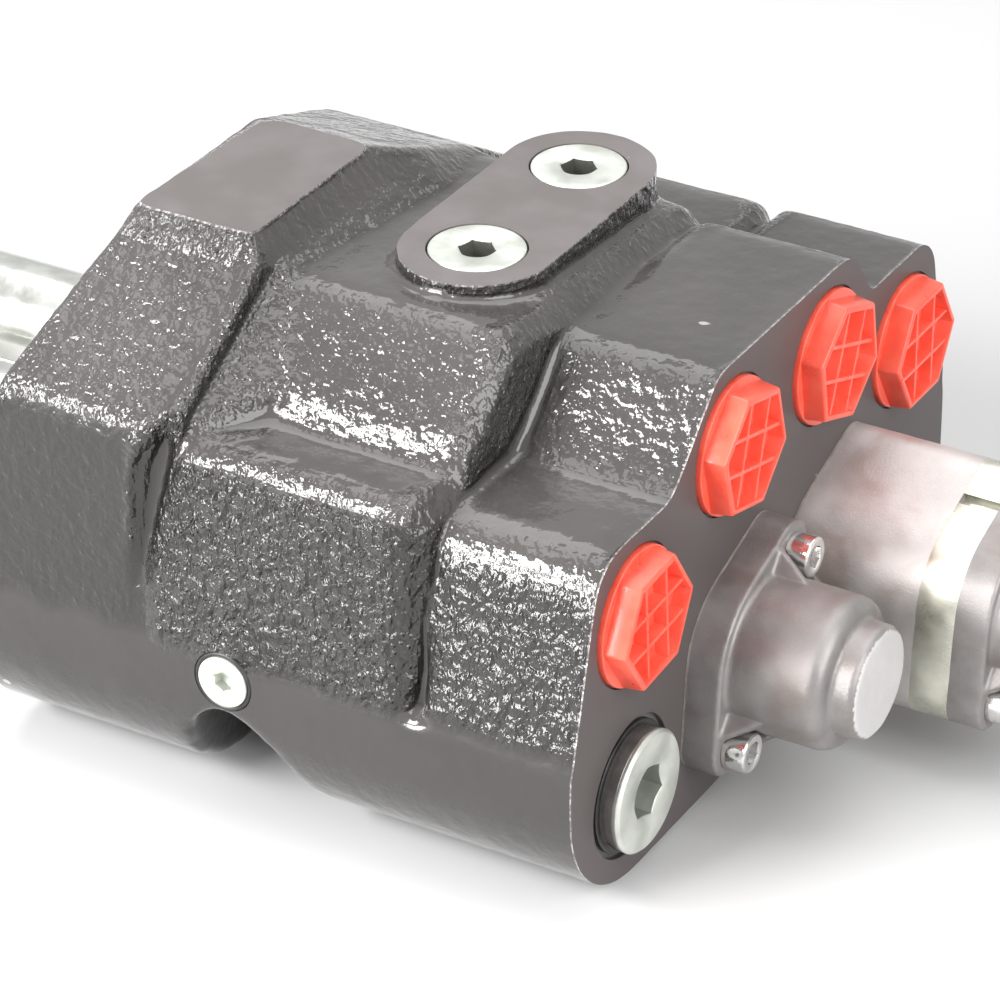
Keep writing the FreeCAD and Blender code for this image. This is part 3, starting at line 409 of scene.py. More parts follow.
def casting_paint():
    """Gloss brown-black paint: hammered where the sand skin is rough, satin where milled, with painted shade
    on the upright sides and the right end face and a painted highlight along the milled edges.
    """
    f = Finish("casting_paint")
    rough = f.attribute("rough")
    milled = f.attribute("milled")
    gloss = f.math("SUBTRACT", 1.0, milled)
    wide = f.noise(0.040, 4, 0.5)
    runs = f.stretched((1.0, 1.0, 1.2))
    coarse = f.noise(0.0027, 1.5, 0.5, 0.3, runs)
    fine = f.noise(0.0011, 1.5, 0.5, 0.2, runs)
    brown = f.mix(f.ramp(wide, 0.35, 0.65), (0.050, 0.0460, 0.0445), (0.064, 0.0590, 0.0570))
    # The dark attribute paints the upright sides darker: painted shade.
    brown = f.mix(f.attribute("dark"), brown, (0.022, 0.020, 0.019))
    cloud = f.ramp(f.noise(0.020, 3), 0.35, 0.7)
    satin = f.mix(cloud, (0.140, 0.127, 0.124), (0.172, 0.160, 0.157))
    x, _, z = f.split(f.place)
    # The milled right end face is painted darker than the milled tops: painted shade.
    satin = f.mix(f.ramp(x, 0.0795, 0.0805), satin, (0.100, 0.088, 0.086))
    colour = f.mix(milled, brown, satin)
    fleck = f.times(f.ramp(f.noise(0.0065, 1, 0.4), 0.80, 0.82), 0.5)
    colour = f.mix(fleck, colour, (0.62, 0.60, 0.58))
    # A thin light line on the skin just before each milled face is a painted highlight on the edge.
    rim = f.math("MAXIMUM", near_face(f, x, right_face), near_face(f, z, head_top))
    boss_edge_highlight = f.times(near_face(f, z, boss_top), f.ramp(z, 0.1262, 0.1261))
    boss_edge_highlight = f.times(boss_edge_highlight, f.ramp(x, -0.0060, -0.0055))
    rim = f.times(f.math("MAXIMUM", rim, boss_edge_highlight), f.times(gloss, 0.45))
    rim = f.times(rim, f.ramp(fine, 0.40, 0.60, 0.25, 1.0))
    f.set(Base_Color=f.mix(rim, colour, (0.56, 0.53, 0.51)))
    f.set(Roughness=f.ramp(milled, 0.0, 1.0, 0.20, 0.36), Coat_Roughness=0.07)
    f.set(Coat_Weight=f.times(gloss, 0.95), Specular_IOR_Level=0.15)
    hammer_depth, bead_depth, peel_depth = 0.0023, 0.00032, 0.00020
    hammered = f.math("ADD", f.times(coarse, 0.80), f.times(fine, 0.20))
    sand = f.times(gloss, f.ramp(rough, 0.05, 2.0, 0.03, 2.0))
    skin = f.bump(f.times(hammered, sand), hammer_depth)
    grains = f.times(f.grains(0.0015, runs), sand)
    beads = f.bump(grains, bead_depth, skin)
    peel = f.bump(f.times(f.noise(0.0045, 2, 0.4), gloss), peel_depth, beads)
    f.set(Normal=peel, Coat_Normal=peel)
    return f.material


def blasted_aluminium(name, shade, painted_reflection=0.0, centre=(0, 0, 0)):
    """Fine blasted casting, warm grey, with its faced end painted bright, for bare metal and painted light,
    and a pinkish brown painted reflection at centre.
    """
    f = Finish(name)

    def tone(*parts):
        return tuple(shade * part for part in parts)

    fine = f.noise(0.0006, 3, 0.6)
    cloud = f.noise(0.012, 4, 0.55)
    colour = f.mix(f.ramp(cloud, 0.3, 0.7), tone(0.80, 0.75, 0.73), tone(1.0, 0.95, 0.93))
    # Bright specks on the fine grain: painted glints.
    painted_glints = f.times(f.ramp(fine, 0.55, 0.75), 0.35)
    colour = f.mix(painted_glints, colour, tone(1.2, 1.16, 1.14))
    # A pinkish brown patch round centre: a painted reflection.
    if painted_reflection:
        spot = f.noise(0.016, 3, 0.5, 0.8, f.stretched((1.5, 1, 1), centre))
        reflection_mask = f.times(f.ramp(spot, 0.50, 0.68), painted_reflection)
        colour = f.mix(reflection_mask, colour, tone(0.66, 0.49, 0.42))
    # The faced end is painted about 2.4 times brighter: the bare machined face and painted light on it.
    colour = f.mix(f.attribute("lit_faced_end"), colour, tone(2.4, 2.35, 2.33))
    f.set(Base_Color=colour, Metallic=0.45)
    f.set(Roughness=f.ramp(cloud, 0.2, 0.8, 0.36, 0.50))
    f.set(Normal=f.bump(f.math("ADD", fine, f.times(cloud, 0.6)), 0.00007))
    return f.material


def plated_steel(name, dark, light, roughness=0.26, rings=None, metal=0.9):
    """Zinc-plated steel with turning rings about an axis, or a brushed grain."""
    f = Finish(name)
    cloud = f.noise(0.008, 3, 0.5)
    shade = f.mix(f.ramp(cloud, 0.3, 0.7), dark, light)
    # Faces marked inside a socket are painted dark: painted shade.
    f.set(Base_Color=f.mix(f.attribute("socket_shade"), shade, (0.13, 0.135, 0.115)), Metallic=metal)
    if rings:
        grain = f.noise(0.004, 2, 0.5, place=f.stretched(rings))
    else:
        grain = f.noise(0.0011, 2, 0.5)
    f.set(Roughness=f.ramp(cloud, 0.25, 0.75, roughness * 0.8, roughness * 1.3))
    f.set(Normal=f.bump(f.math("ADD", grain, f.times(cloud, 0.5)), 0.000035))
    return f.material


def moulded_red():
    """Coral red polythene: glossy, a little cloudy and lit from within."""
    f = Finish("moulded_red")
    cloud = f.noise(0.006, 3, 0.5)
    f.set(Base_Color=f.mix(f.ramp(cloud, 0.3, 0.7), (0.84, 0.095, 0.055), (0.90, 0.130, 0.080)))
    f.set(Roughness=f.ramp(cloud, 0.3, 0.7, 0.27, 0.38))
    f.set(Normal=f.bump(f.noise(0.0025, 2, 0.5), 0.00008))
    f.set(Subsurface_Weight=0.35, Subsurface_Radius=(1.0, 0.25, 0.18), Subsurface_Scale=0.002)
    f.set(Coat_Weight=0.15)
    return f.material


def plain_finish(name, dark, light, size, roughness, metal=0.0, depth=0.00004):
    """Two-tone finish for rubber, fibre, bronze and bare steel."""
    f = Finish(name)
    cloud = f.noise(size, 4, 0.55)
    f.set(Base_Color=f.mix(f.ramp(cloud, 0.3, 0.7), dark, light), Metallic=metal)
    f.set(Roughness=f.ramp(cloud, 0.25, 0.75, roughness * 0.85, roughness * 1.15))
    f.set(Normal=f.bump(f.noise(size / 4, 2), depth))
    return f.material


paint = casting_paint()
# The cap and spacer metal carry a painted pinkish brown reflection round the given centre.
cap_metal = blasted_aluminium("cast_cap_metal", 0.28, 0.45, (0.101, -0.028, 0.030))
spacer_metal = blasted_aluminium("cast_spacer_metal", 0.56, 0.60, (0.098, 0.005, 0.060))
flange_metal = blasted_aluminium("cast_flange_metal", 0.50)
plate_zinc = plated_steel("plate_zinc", (0.50, 0.50, 0.43), (0.72, 0.72, 0.62), 0.30,
                          (1, 0.06, 0.06), 0.75)
plug_zinc = plated_steel("plug_zinc", (0.52, 0.54, 0.49), (0.66, 0.68, 0.63), 0.38, None, 0.65)
sleeve_steel = plated_steel("sleeve_steel", (0.60, 0.61, 0.57), (0.78, 0.79, 0.75), 0.17,
                            (0.05, 1, 1))
bright_steel = plated_steel("bright_steel", (0.68, 0.67, 0.66), (0.82, 0.81, 0.80), 0.12)
# Dark steel for the relief plug's collar: its dark colour is a painted reflection.
black_steel = plain_finish("black_steel", (0.130, 0.122, 0.116), (0.190, 0.180, 0.172), 0.004,
                           0.20, 0.5)
ground_steel = plated_steel("ground_steel", (0.50, 0.50, 0.49), (0.64, 0.64, 0.62), 0.22,
                            (1, 0.05, 0.05))
spring_wire = plain_finish("spring_wire", (0.22, 0.21, 0.20), (0.34, 0.33, 0.32), 0.003, 0.32, 0.9)
bronze = plain_finish("bronze", (0.46, 0.30, 0.13), (0.62, 0.43, 0.20), 0.005, 0.32, 0.9)
rubber = plain_finish("black_rubber", (0.012, 0.012, 0.012), (0.028, 0.027, 0.026), 0.003, 0.38)
fibre = plain_finish("gasket_fibre", (0.24, 0.22, 0.19), (0.36, 0.33, 0.29), 0.002, 0.8,
                     depth=0.00008)
red = moulded_red()


# Outlines shared by the flanged parts, in the (y, z) plane round a spool axis

core_radius = 20.5
ear_radius = 7.5
ear_angles = (screw_angle, screw_angle + pi)


def flange_outline():
    """Round core joined to its two screw ears by tangent sides."""
    lean = acos((core_radius - ear_radius) / screw_offset)
    points = []
    for base in ear_angles:
        ear = Vector((screw_offset * cos(base), screw_offset * sin(base)))
        for t in np.linspace(base - lean, base + lean, 17):
            points.append(ear + Vector((cos(t), sin(t))) * ear_radius)
        for t in np.linspace(base + lean, base + pi - lean, 25):
            points.append(Vector((cos(t), sin(t))) * core_radius)
    return [tuple(p) for p in points]


def screw_spots():
    return [Vector((screw_offset * cos(a), screw_offset * sin(a), 0)) for a in ear_angles]


def at_screws(radius, low, high):
    rods = []
    for spot in screw_spots():
        drill = rod(radius, low, high, 48)
        drill.data.transform(Matrix.Translation(spot))
        rods.append(drill)
    return rods


def joined(name, objects):
    """One object that holds all the closed shells of several."""
    bm = bmesh.new()
    for obj in objects:
        bm.from_mesh(obj.data)
    drop(*objects)
    return from_bmesh(name, bm)


def voxel_skin(obj, size):
    """Turns overlapping closed shells into one even skin, and keeps its outer shell."""
    configure(obj.modifiers.new("skin", "REMESH"), mode="VOXEL", voxel_size=size)
    evaluated(obj)
    bm = bmesh.new()
    bm.from_mesh(obj.data)
    shells = []
    for seed in bm.verts:
        if seed.tag:
            continue
        seed.tag = True
        shell = [seed]
        for vertex in shell:
            for edge in vertex.link_edges:
                other = edge.other_vert(vertex)
                if not other.tag:
                    other.tag = True
                    shell.append(other)
        shells.append(shell)
    for shell in sorted(shells, key=len)[:-1]:
        bmesh.ops.delete(bm, geom=shell, context="VERTS")
    bm.to_mesh(obj.data)
    bm.free()
    return obj


class Points:
    """A mesh's vertices as an array, with its edges for smoothing."""

    def __init__(self, mesh):
        self.mesh = mesh
        self.at = np.empty(len(mesh.vertices) * 3)
        mesh.vertices.foreach_get("co", self.at)
        self.at = self.at.reshape(-1, 3)
        pairs = np.empty(len(mesh.edges) * 2, np.int64)
        mesh.edges.foreach_get("vertices", pairs)
        self.a, self.b = pairs.reshape(-1, 2).T
        self.count = np.bincount(self.a, minlength=len(self.at))
        self.count = self.count + np.bincount(self.b, minlength=len(self.at))

    def mean(self, values):
        """Mean of the neighbours' values."""
        total = np.zeros_like(values)
        for axis in range(values.shape[1]):
            total[:, axis] += np.bincount(self.a, values[self.b, axis], len(self.at))
            total[:, axis] += np.bincount(self.b, values[self.a, axis], len(self.at))
        return total / self.count[:, None]

    def relax(self, steps, strength=0.6):
        """The points after moving steps times towards the mean of their neighbours."""
        moved = self.at.copy()
        for _ in range(steps):
            moved += (self.mean(moved) - moved) * strength
        return moved

    def normals(self):
        self.write()
        out = np.empty(len(self.at) * 3)
        self.mesh.vertex_normals.foreach_get("vector", out)
        return out.reshape(-1, 3)

    def write(self):
        self.mesh.vertices.foreach_set("co", self.at.ravel())
        self.mesh.update()


def bumps(points, size, seed):
    """Smooth noise of about -1 to 1 with blotches size wide, at each point."""
    shift = Vector((seed * 17.3, seed * 5.1, seed * 9.7))
    return np.array([noise.noise(Vector(p) / size + shift) for p in points])


def blend(values, low, high):
    """Smooth step from 0 at low to 1 at high."""
    t = np.clip((values - low) / (high - low), 0, 1)
    return t * t * (3 - 2 * t)


def between(values, rise, fall):
    """1 between two places, with a smooth rise to it and a smooth fall after it."""
    return blend(values, *rise) * (1 - blend(values, *fall))


def put_attribute(mesh, name, values, domain="POINT"):
    layer = mesh.attributes.new(name, "FLOAT", domain)
    layer.data.foreach_set("value", np.asarray(values, np.float32))


# The block: cast with skin_size cubes, from extra past its milled faces

skin_size = 1.12
extra = 4.0
ramp_corners = np.array([(-25.0, -91.5, 100.3), (-10.5, -68.5, 106.5), (-21.0, -50.0, 122.5)])
ramp_normal = np.cross(ramp_corners[1] - ramp_corners[0], ramp_corners[2] - ramp_corners[0])
ramp_normal /= np.linalg.norm(ramp_normal)
facet_plan = [(-59.8, -53.0), (-28.9, -52.8), (-28.9, -2.6), (-55.2, -1.5)]
boss_radius = 18.7


def block_copy():
    """The block's solid in millimetres, with its two machined ends run on past their faces."""
    block = link("block_copy", frame["nodes"]["valve_body"].data.copy())
    block.data.transform(Matrix.Scale(1000, 4))
    tidy(block, 0.004)
    bm = bmesh.new()
    bm.from_mesh(block.data)
    for face_x in (right_face, left_face):
        way = 1 if face_x > 0 else -1
        end = [f for f in bm.faces if f.normal.x * way > 0.999
               and abs(f.calc_center_median().x - face_x) < 0.05]
        extrude(bm, end, (way * extra, 0, 0))
        bmesh.ops.delete(bm, geom=end, context="FACES_ONLY")
    bmesh.ops.recalc_face_normals(bm, faces=bm.faces)
    bm.to_mesh(block.data)
    bm.free()
    block.data.materials.clear()
    return block


def stopper(radius, start, direction, length):
    """Plain rod from start, left in millimetres, that fills an opening or cuts it."""
    shape = rod(radius, 0, length, 48)
    shape.data.transform(Matrix.Translation(start) @ basis(direction))
    return shape


def opening_stoppers():
    """Plugs a little wider than every opening, so the skin is cast as one closed block first."""
    for number, y in spool_y.items():
        yield stopper(end_recess + 1.5, on_axis(left_face - extra, number), X,
                      right_face - left_face + 2 * extra)
        yield stopper(12.6, (check_x, y, 60), Z, boss_top - 60 + extra)
        for spot in screw_spots():
            for face_x, way in ((right_face, -1), (left_face, 1)):
                start = (face_x - way * extra, y + spot.x, spool_z + spot.y)
                yield stopper(ear_thread + 0.6, start, X * way, 22 + extra)
    for origin, direction, _ in port_places.values():
        yield stopper(port_recess + 0.5, origin - direction * 12, direction, 12 + extra)
    yield stopper(relief_recess + 0.4, relief_centre - X * 30, X, 30 + extra)
    yield stopper(gallery_recess + 1.6, (gallery_x, near_wall, spool_z), Y, 22)
    for x, y in foot_spots:
        yield stopper(4.8, (x, y, 0), Z, 20)


def boss_outline():
    """Plan of the boss: two ends round the load checks, joined by flat sides."""
    outline = []
    for number, first in (("2", 0.0), ("1", pi)):
        for t in np.linspace(first, first + pi, 33):
            outline.append((check_x + boss_radius * cos(t), spool_y[number] + boss_radius * sin(t)))
    return outline


def skin_marks(skin, normal):
    """How rough each point of the sand skin is, and how much painted shade darkens its paint.

    The hammered sides are roughest, slopes less, and tops, valleys and the lower band little."""
    x, y, z = skin.at.T
    wobble = bumps(skin.at, 9, 3)
    up = normal[:, 2] + 0.03 * wobble
    side = 1 - blend(up, 0.22, 0.50)
    head = 1 - blend(x + 2 * wobble, -34, -28)
    above_band = blend(z + 2 * wobble, 43, 49)
    rough = (0.50 + 0.50 * side) * (1 - 0.55 * head * side) + 0.25 * head * (1 - side)
    rough *= 1 - 0.80 * blend(up, 0.90, 0.985)
    curve = ((skin.relax(34) - skin.at) * normal).sum(1)
    rough += (0.9 - rough) * blend(-curve, 0.25, 0.80)
    rough *= 1 - blend(curve, 0.30, 0.85)
    height = (skin.at - ramp_corners[0]) @ ramp_normal
    ramp = (1 - blend(np.abs(height), 0.6, 1.5)) * between(x, (-24.0, -22.5), (-9.5, -8.0))
    ramp *= between(y, (-90.0, -87.5), (-50.0, -46.0))
    rough += (0.85 - rough) * ramp
    lip = blend(z, 125.5, 127.5) * (1 - blend(up, 0.85, 0.95))
    rough += (1.4 - rough) * head * lip
    middle = between(x, (-34, -30), (30, 36)) * side * (1 - blend(y, -70, -60))
    rough *= 1 + 0.9 * middle
    rough *= 0.10 + 0.90 * above_band
    # The second value is painted shade: upright faces, most above the lower band, are painted darker than
    # tops and slopes.
    return np.clip(rough, 0, 2), side * (0.6 + 0.4 * above_band)


def casting():
    """One even skin over the block, eased and lumpy as sand leaves it, then machined."""
    facet = prism("facet_rise", rounded_loop(facet_plan, 3.0), head_top - 3, head_top + 2.5)
    boss = prism("boss_rise", boss_outline(), boss_top - 10, boss_top + extra)
    parts = [block_copy(), facet, boss, *opening_stoppers()]
    work = voxel_skin(joined("casting_skin", parts), skin_size)
    skin = Points(work.data)
    skin.at = skin.relax(8)
    normal = skin.normals()
    rough, dark = skin_marks(skin, normal)
    wide_lumps, small_lumps = bumps(skin.at, 7.5, 1), bumps(skin.at, 3.4, 2)
    lumps = 0.22 * wide_lumps + 0.12 * small_lumps
    skin.at += normal * (lumps * (0.25 + 0.75 * np.minimum(rough, 1)))[:, None]
    skin.write()
    put_attribute(work.data, "rough", rough)
    # The dark attribute carries painted shade on the upright sides.
    put_attribute(work.data, "dark", dark)
    cuts = [box((right_face, -120, -5), (right_face + 20, 120, 140)),
            box((left_face - 20, -120, -5), (left_face, 120, 140)),
            box((-8, -46, boss_top), (36, 46, boss_top + 10)),
            box((-70, -70, head_top), (-15, 20, head_top + 10)),
            box((-90, -120, -5), (90, 120, 0)), *machined_openings()]
    machine(work, cuts)


def machined_openings():
    """Cutters for the recesses, bores and threads that can be seen or looked into."""
    for number, y in spool_y.items():
        yield stopper(spool_bore, on_axis(left_face - 1, number), X, right_face - left_face + 2)
        for face_x, way in ((right_face, -1), (left_face, 1)):
            yield stopper(end_recess, on_axis(face_x - way, number), X * way, 5)
            for spot in screw_spots():
                start = (face_x - way, y + spot.x, spool_z + spot.y)
                yield stopper(ear_thread, start, X * way, 17)
        yield stopper(check_seat, (check_x, y, boss_top - 6), Z, 8)
        yield stopper(check_bore, (check_x, y, 84), Z, 38)
    for origin, direction, _ in port_places.values():
        yield stopper(port_recess, origin - direction * recess_depth, direction, 12)
        yield stopper(port_thread, origin - direction * port_depth, direction, port_depth)
    yield stopper(relief_recess, relief_centre - X * 1.5, X, 3)
    yield stopper(relief_thread, relief_centre - X * 25, X, 25)
    yield stopper(gallery_recess, (gallery_x, near_wall - 5, spool_z), Y, 8)
    yield stopper(gallery_thread, (gallery_x, near_wall - 1, spool_z), Y, 20)
    for x, y in foot_spots:
        yield stopper(foot_thread, (x, y, -1), Z, 17)


def machine(work, cuts):
    """Cuts the openings, marks every face that a tool has left and shades the level ones flat."""
    source = Points(work.data)
    marks = {}
    for name in ("rough", "dark"):
        marks[name] = np.empty(len(source.at), np.float32)
        work.data.attributes[name].data.foreach_get("value", marks[name])
    bm = bmesh.new()
    bm.from_mesh(work.data)
    skin = BVHTree.FromBMesh(bm)
    bm.free()
    tree = KDTree(len(source.at))
    for i, spot in enumerate(source.at):
        tree.insert(spot, i)
    tree.balance()
    combine(work, cuts, solver="MANIFOLD")
    mesh = work.data
    near = [tree.find(v.co)[1] for v in mesh.vertices]
    for name, values in marks.items():
        for layer in [a for a in mesh.attributes if a.name == name]:
            mesh.attributes.remove(layer)
        put_attribute(mesh, name, values[near])
    milled = [skin.find_nearest(f.center)[3] > 0.3 for f in mesh.polygons]
    put_attribute(mesh, "milled", milled, "FACE")
    mesh.transform(Matrix.Scale(mm, 4))
    finished(work, "valve_body", paint, angle=42)
    level = [cut and max(abs(f.normal.x), abs(f.normal.z)) > 0.9999
             for cut, f in zip(milled, mesh.polygons)]
    mesh.polygons.foreach_set("use_smooth", [not flat for flat in level])


# Plugs and caps

def socket(flats, mouth, floor, turn, countersink):
    """Hexagon socket from mouth down to floor, with a drilled bottom and a turned mouth."""
    hexagon = hex_prism(flats, floor, mouth + 1, turn)
    drilled, turned = flats * 0.44, flats / 2 + countersink * 1.6
    drill = lathe("drill", [(0, floor - flats * 0.16), (drilled, floor), (drilled, floor + 1),
                            (0, floor + 1)], 48, 0)
    cone = lathe("cone", [(0, mouth - countersink), (flats / 2 - 0.1, mouth - countersink),
                          (turned, mouth + 0.02), (turned, mouth + 1), (0, mouth + 1)], 64, 0)
    return [hexagon, drill, cone]


def mark_socket_shade(obj, radius, level, share=1.0):
    """Marks the faces inside a socket, which are painted darker as painted shade, by share."""
    socket_shade = [share * (f.center.z < level and f.center.xy.length < radius) for f in obj.data.polygons]
    put_attribute(obj.data, "socket_shade", socket_shade, "FACE")


def check_plug(number):
    """Socket plug of the load check: satin face, eased rim, thread relief below."""
    top, thread = 6.0, 9.98
    body = lathe("check_plug_" + number,
                 [(0, -12), (thread - 1, -12), (thread, -11), (thread, -0.02), (11.6, -0.02),
                  (11.6, top), (0, top)], 96, 0.45)
    combine(body, socket(8.0, top, top - 4.6, 15, 0.55))
    ease_edges(body, 0.14)
    mark_socket_shade(body, 5.6, top - 0.5)
    place(body, (check_x, spool_y[number], boss_top - top), Z)
    finished(body, "load_check_plug_" + number, plug_zinc)


def relief_plug():
    """Large socket plug, whose collar behind the grooved rim is painted dark: a painted reflection of the
    dark surroundings its glossy side mirrors.
    """
    top, rim = 5.0, 15.0
    body = lathe("relief_plug_face",
                 [(0, -18), (9.6, -18), (10.98, -16.8), (10.98, 0), (rim, 0), (rim, 3.4),
                  (rim - 0.2, 3.6), (rim, 3.8), (rim, 4.3), (rim - 0.7, top), (0, top)], 96, 0.15)
    combine(body, socket(12.0, top, -1.0, 102, 0.9))
    ease_edges(body, 0.16)
    mark_socket_shade(body, 7.8, 4.4, 0.6)
    # The collar faces take the dark steel: a painted reflection of dark surroundings.
    collar = [f.center.z < 3.6 and f.center.xy.length > 13 for f in body.data.polygons]
    place(body, relief_centre, X)
    finished(body, "relief_plug", plug_zinc)
    body.data.materials.append(black_steel)
    for face, dark in zip(body.data.polygons, collar):
        face.material_index = int(dark)


def relief_washer():
    low, outer = -1.5, 16.2
    body = lathe("relief_washer_ring", [(relief_thread, low), (outer, low), (outer, 0),
                                        (relief_thread, 0), (relief_thread, low)], 96, 0.3)
    place(body, relief_centre, X)
    finished(body, "relief_washer", rubber)


def gallery_plug():
    """Small socket plug, with a round seal under its head."""
    face, ring_at = -98.6, -97.7
    body = lathe("gallery_plug_face",
                 [(0, 0), (6.6, 0), (6.6, 3.3), (5.0, 3.3), (5.0, 11.3), (0, 11.3)], 72, 0.3)
    hexagon = hex_prism(4.5, -1, 3.2, 90)
    cone = lathe("cone", [(0, 0.5), (2.4, 0.5), (3.1, -0.02), (3.1, -1), (0, -1)], 48, 0)
    combine(body, [hexagon, cone])
    ease_edges(body, 0.1)
    place(body, (gallery_x, face, spool_z), Y)
    finished(body, "gallery_plug", plug_zinc)
    cord = 0.6
    turns = [(7.22 + cord * cos(t), cord * sin(t)) for t in np.linspace(0, 2 * pi, 13)]
    seal = lathe("gallery_seal", turns, 72, 0)
    place(seal, (gallery_x, ring_at, spool_z), Y)
    finished(seal, "gallery_plug_ring", rubber)


class Pattern(Nodes):
    """Geometry Nodes tree with named inputs, run into a plain mesh."""

    def __init__(self, name, **inputs):
        super().__init__(bpy.data.node_groups.new(name, "GeometryNodeTree"))
        sockets = self.tree.interface
        sockets.new_socket("Geometry", in_out="OUTPUT", socket_type="NodeSocketGeometry")
        for label, kind in inputs.items():
            sockets.new_socket(label, in_out="INPUT", socket_type="NodeSocket" + kind)
        self.given = self.add("NodeGroupInput").outputs
        self.sink = self.add("NodeGroupOutput")

    def at_ends(self, start, end, instance):
        """One instance at start and one at end."""
        line = self.add("GeometryNodeMeshLine", mode="END_POINTS")
        self.fill(line, Count=2, Start_Location=start, Offset=end)
        return self.wired("GeometryNodeInstanceOnPoints", Points=line.outputs[0],
                          Instance=instance).outputs[0]

    def close(self, geometry, material):
        """Realizes the pattern and gives it its material."""
        real = self.wired("GeometryNodeRealizeInstances", Geometry=geometry)
        painted = self.wired("GeometryNodeSetMaterial", Geometry=real.outputs[0], Material=material)
        self.put(self.sink.inputs[0], painted.outputs[0])
        return self

    def run(self, name, **values):
        holder = link(name, bpy.data.meshes.new(name))
        step = holder.modifiers.new("pattern", "NODES")
        step.node_group = self.tree
        for item in self.tree.interface.items_tree:
            if item.in_out == "INPUT":
                step[item.identifier] = values[item.name]
        return evaluated(holder)


def rib_pattern():
    """Two bars each way across a cap, on one centre."""
    pattern = Pattern("cap_ribs", Offset_X="Float", Offset_Y="Float", Length="Float",
                      Thickness="Float", Height="Float")
    given = pattern.given
    halves = []
    for long_side, thin_side in ("XY", "YX"):
        step = given["Offset_" + long_side]
        size = pattern.wired("ShaderNodeCombineXYZ", Z=given["Height"])
        pattern.put(size.inputs[long_side], given["Length"])
        pattern.put(size.inputs[thin_side], given["Thickness"])
        bar = pattern.wired("GeometryNodeMeshCube", Size=size.outputs[0])
        ends = [pattern.wired("ShaderNodeCombineXYZ", **{thin_side: reach}).outputs[0]
                for reach in (pattern.times(step, -1.0), step)]
        halves.append(pattern.at_ends(*ends, bar.outputs[0]))
    both = pattern.add("GeometryNodeJoinGeometry")
    for half in halves:
        pattern.tree.links.new(half, both.inputs[0])
    return pattern.close(both.outputs[0], red)


def squeeze(obj, low, high, share):
    """Draws the points from low to high towards the axis by share."""
    for vertex in obj.data.vertices:
        if low < vertex.co.z < high:
            vertex.co.xy *= share


def port_cap(node, ribs):
    """Moulded transport cap: threaded stud, skirt and a tapered ribbed hexagon."""
    origin, direction, turn = port_places[node]
    flats, rise, skirt, wall, floor, stud, rim = 29.0, 5.4, 1.2, 1.3, 2.6, 9.28, 16.8
    bar_middle = 3.2
    top = skirt + rise
    cap = lathe(node + "_moulding",
                [(0, -14.2), (9.0, -14.2), (stud, -13.6), (stud, -recess_depth),
                 (rim, -recess_depth), (rim, skirt), (0, skirt)], 96, 0.35)
    head = hex_prism(flats, skirt - 0.4, top)
    squeeze(head, top - 0.1, top + 0.1, 0.955)
    hollow = hex_prism(flats - 2 * wall - 1.2, floor, top + 1)
    squeeze(hollow, floor - 0.1, floor + 0.1, 0.97)
    ease_edges(head, 0.55, 3, 30)
    combine(head, [hollow])
    bars = ribs.run("bars", Offset_X=4.2, Offset_Y=4.6, Length=40.0, Thickness=0.95, Height=7.0)
    bars.data.transform(Matrix.Translation((0, 0, bar_middle)))
    inner = hex_prism(flats - 2 * wall, floor - 0.4, top - 0.7)
    web = combine(inner, [bars], "INTERSECT", crossing=True)
    combine(cap, [head], "UNION")
    combine(cap, [web], "UNION")
    ease_edges(cap, 0.13, 2, 40)
    place(cap, origin, direction, turn)
    finished(cap, node, red)


# Flanged parts

cap_voxel = 0.52


def cast_finish(parts, name, steps, lump, seed):
    """Joins shapes into one sand-cast skin with soft inner corners."""
    work = voxel_skin(joined(name, parts), cap_voxel)
    skin = Points(work.data)
    skin.at = skin.relax(steps)
    normal = skin.normals()
    skin.at += normal * (lump * bumps(skin.at, 4.5, seed))[:, None]
    skin.write()
    return work


def lug_wedges():
    """The sloping lugs that tie each screw ear to the barrel."""
    wedges = []
    for angle in ear_angles:
        for way in (-1, 1):
            profile = [(11.5, 8.0), (23.4, 8.0), (23.4, 8.9), (17.5, 17.5), (11.5, 20.5)]
            wedge = prism("wedge", profile, -1.6, 1.6)
            upright = Matrix.Rotation(radians(90), 4, "X")
            aside = Matrix.Translation((0, way * 6.9, 0))
            wedge.data.transform(Matrix.Rotation(angle, 4, "Z") @ aside @ upright)
            wedges.append(wedge)
    return wedges


def slab(low, high):
    """Wide cutter that faces a flange from low to high."""
    return box((-40, -40, low), (40, 40, high))


def spring_cap(number):
    """Cast cap: two-bolt flange, barrel, end boss and lugs."""
    shoulder, nose_top = 33.0, 39.4
    flange = prism("flange", flange_outline(), -2, cap_flange)
    barrel = lathe("barrel", [(0, -2), (18.8, -2), (18.8, 29.8), (17.6, 32.2), (15.2, shoulder),
                              (0, shoulder)], 96, 1.2)
    nose = lathe("nose", [(0, 20), (14.0, 20), (14.0, 38.2), (12.8, nose_top), (0, nose_top)],
                 96, 0.2)
    parts = [flange, barrel, nose] + lug_wedges()
    work = cast_finish(parts, "spring_cap_casting_" + number, 2, 0.10, 4 + int(number))
    cuts = [slab(-6, 0), rod(cap_cavity, -1, shoulder, 72)]
    cuts += at_screws(5.5, cap_flange, 45) + at_screws(ear_hole, -1, 12)
    combine(work, cuts, solver="MANIFOLD")
    # Marks the nose's end face, which the cap metal paints much brighter: bare machined metal and painted
    # light.
    put_attribute(work.data, "lit_faced_end", Points(work.data).at[:, 2] > nose_top - 0.3)
    place(work, on_axis(cap_face[number], number), X)
    finished(work, "spring_cap_" + number, cap_metal, angle=44)


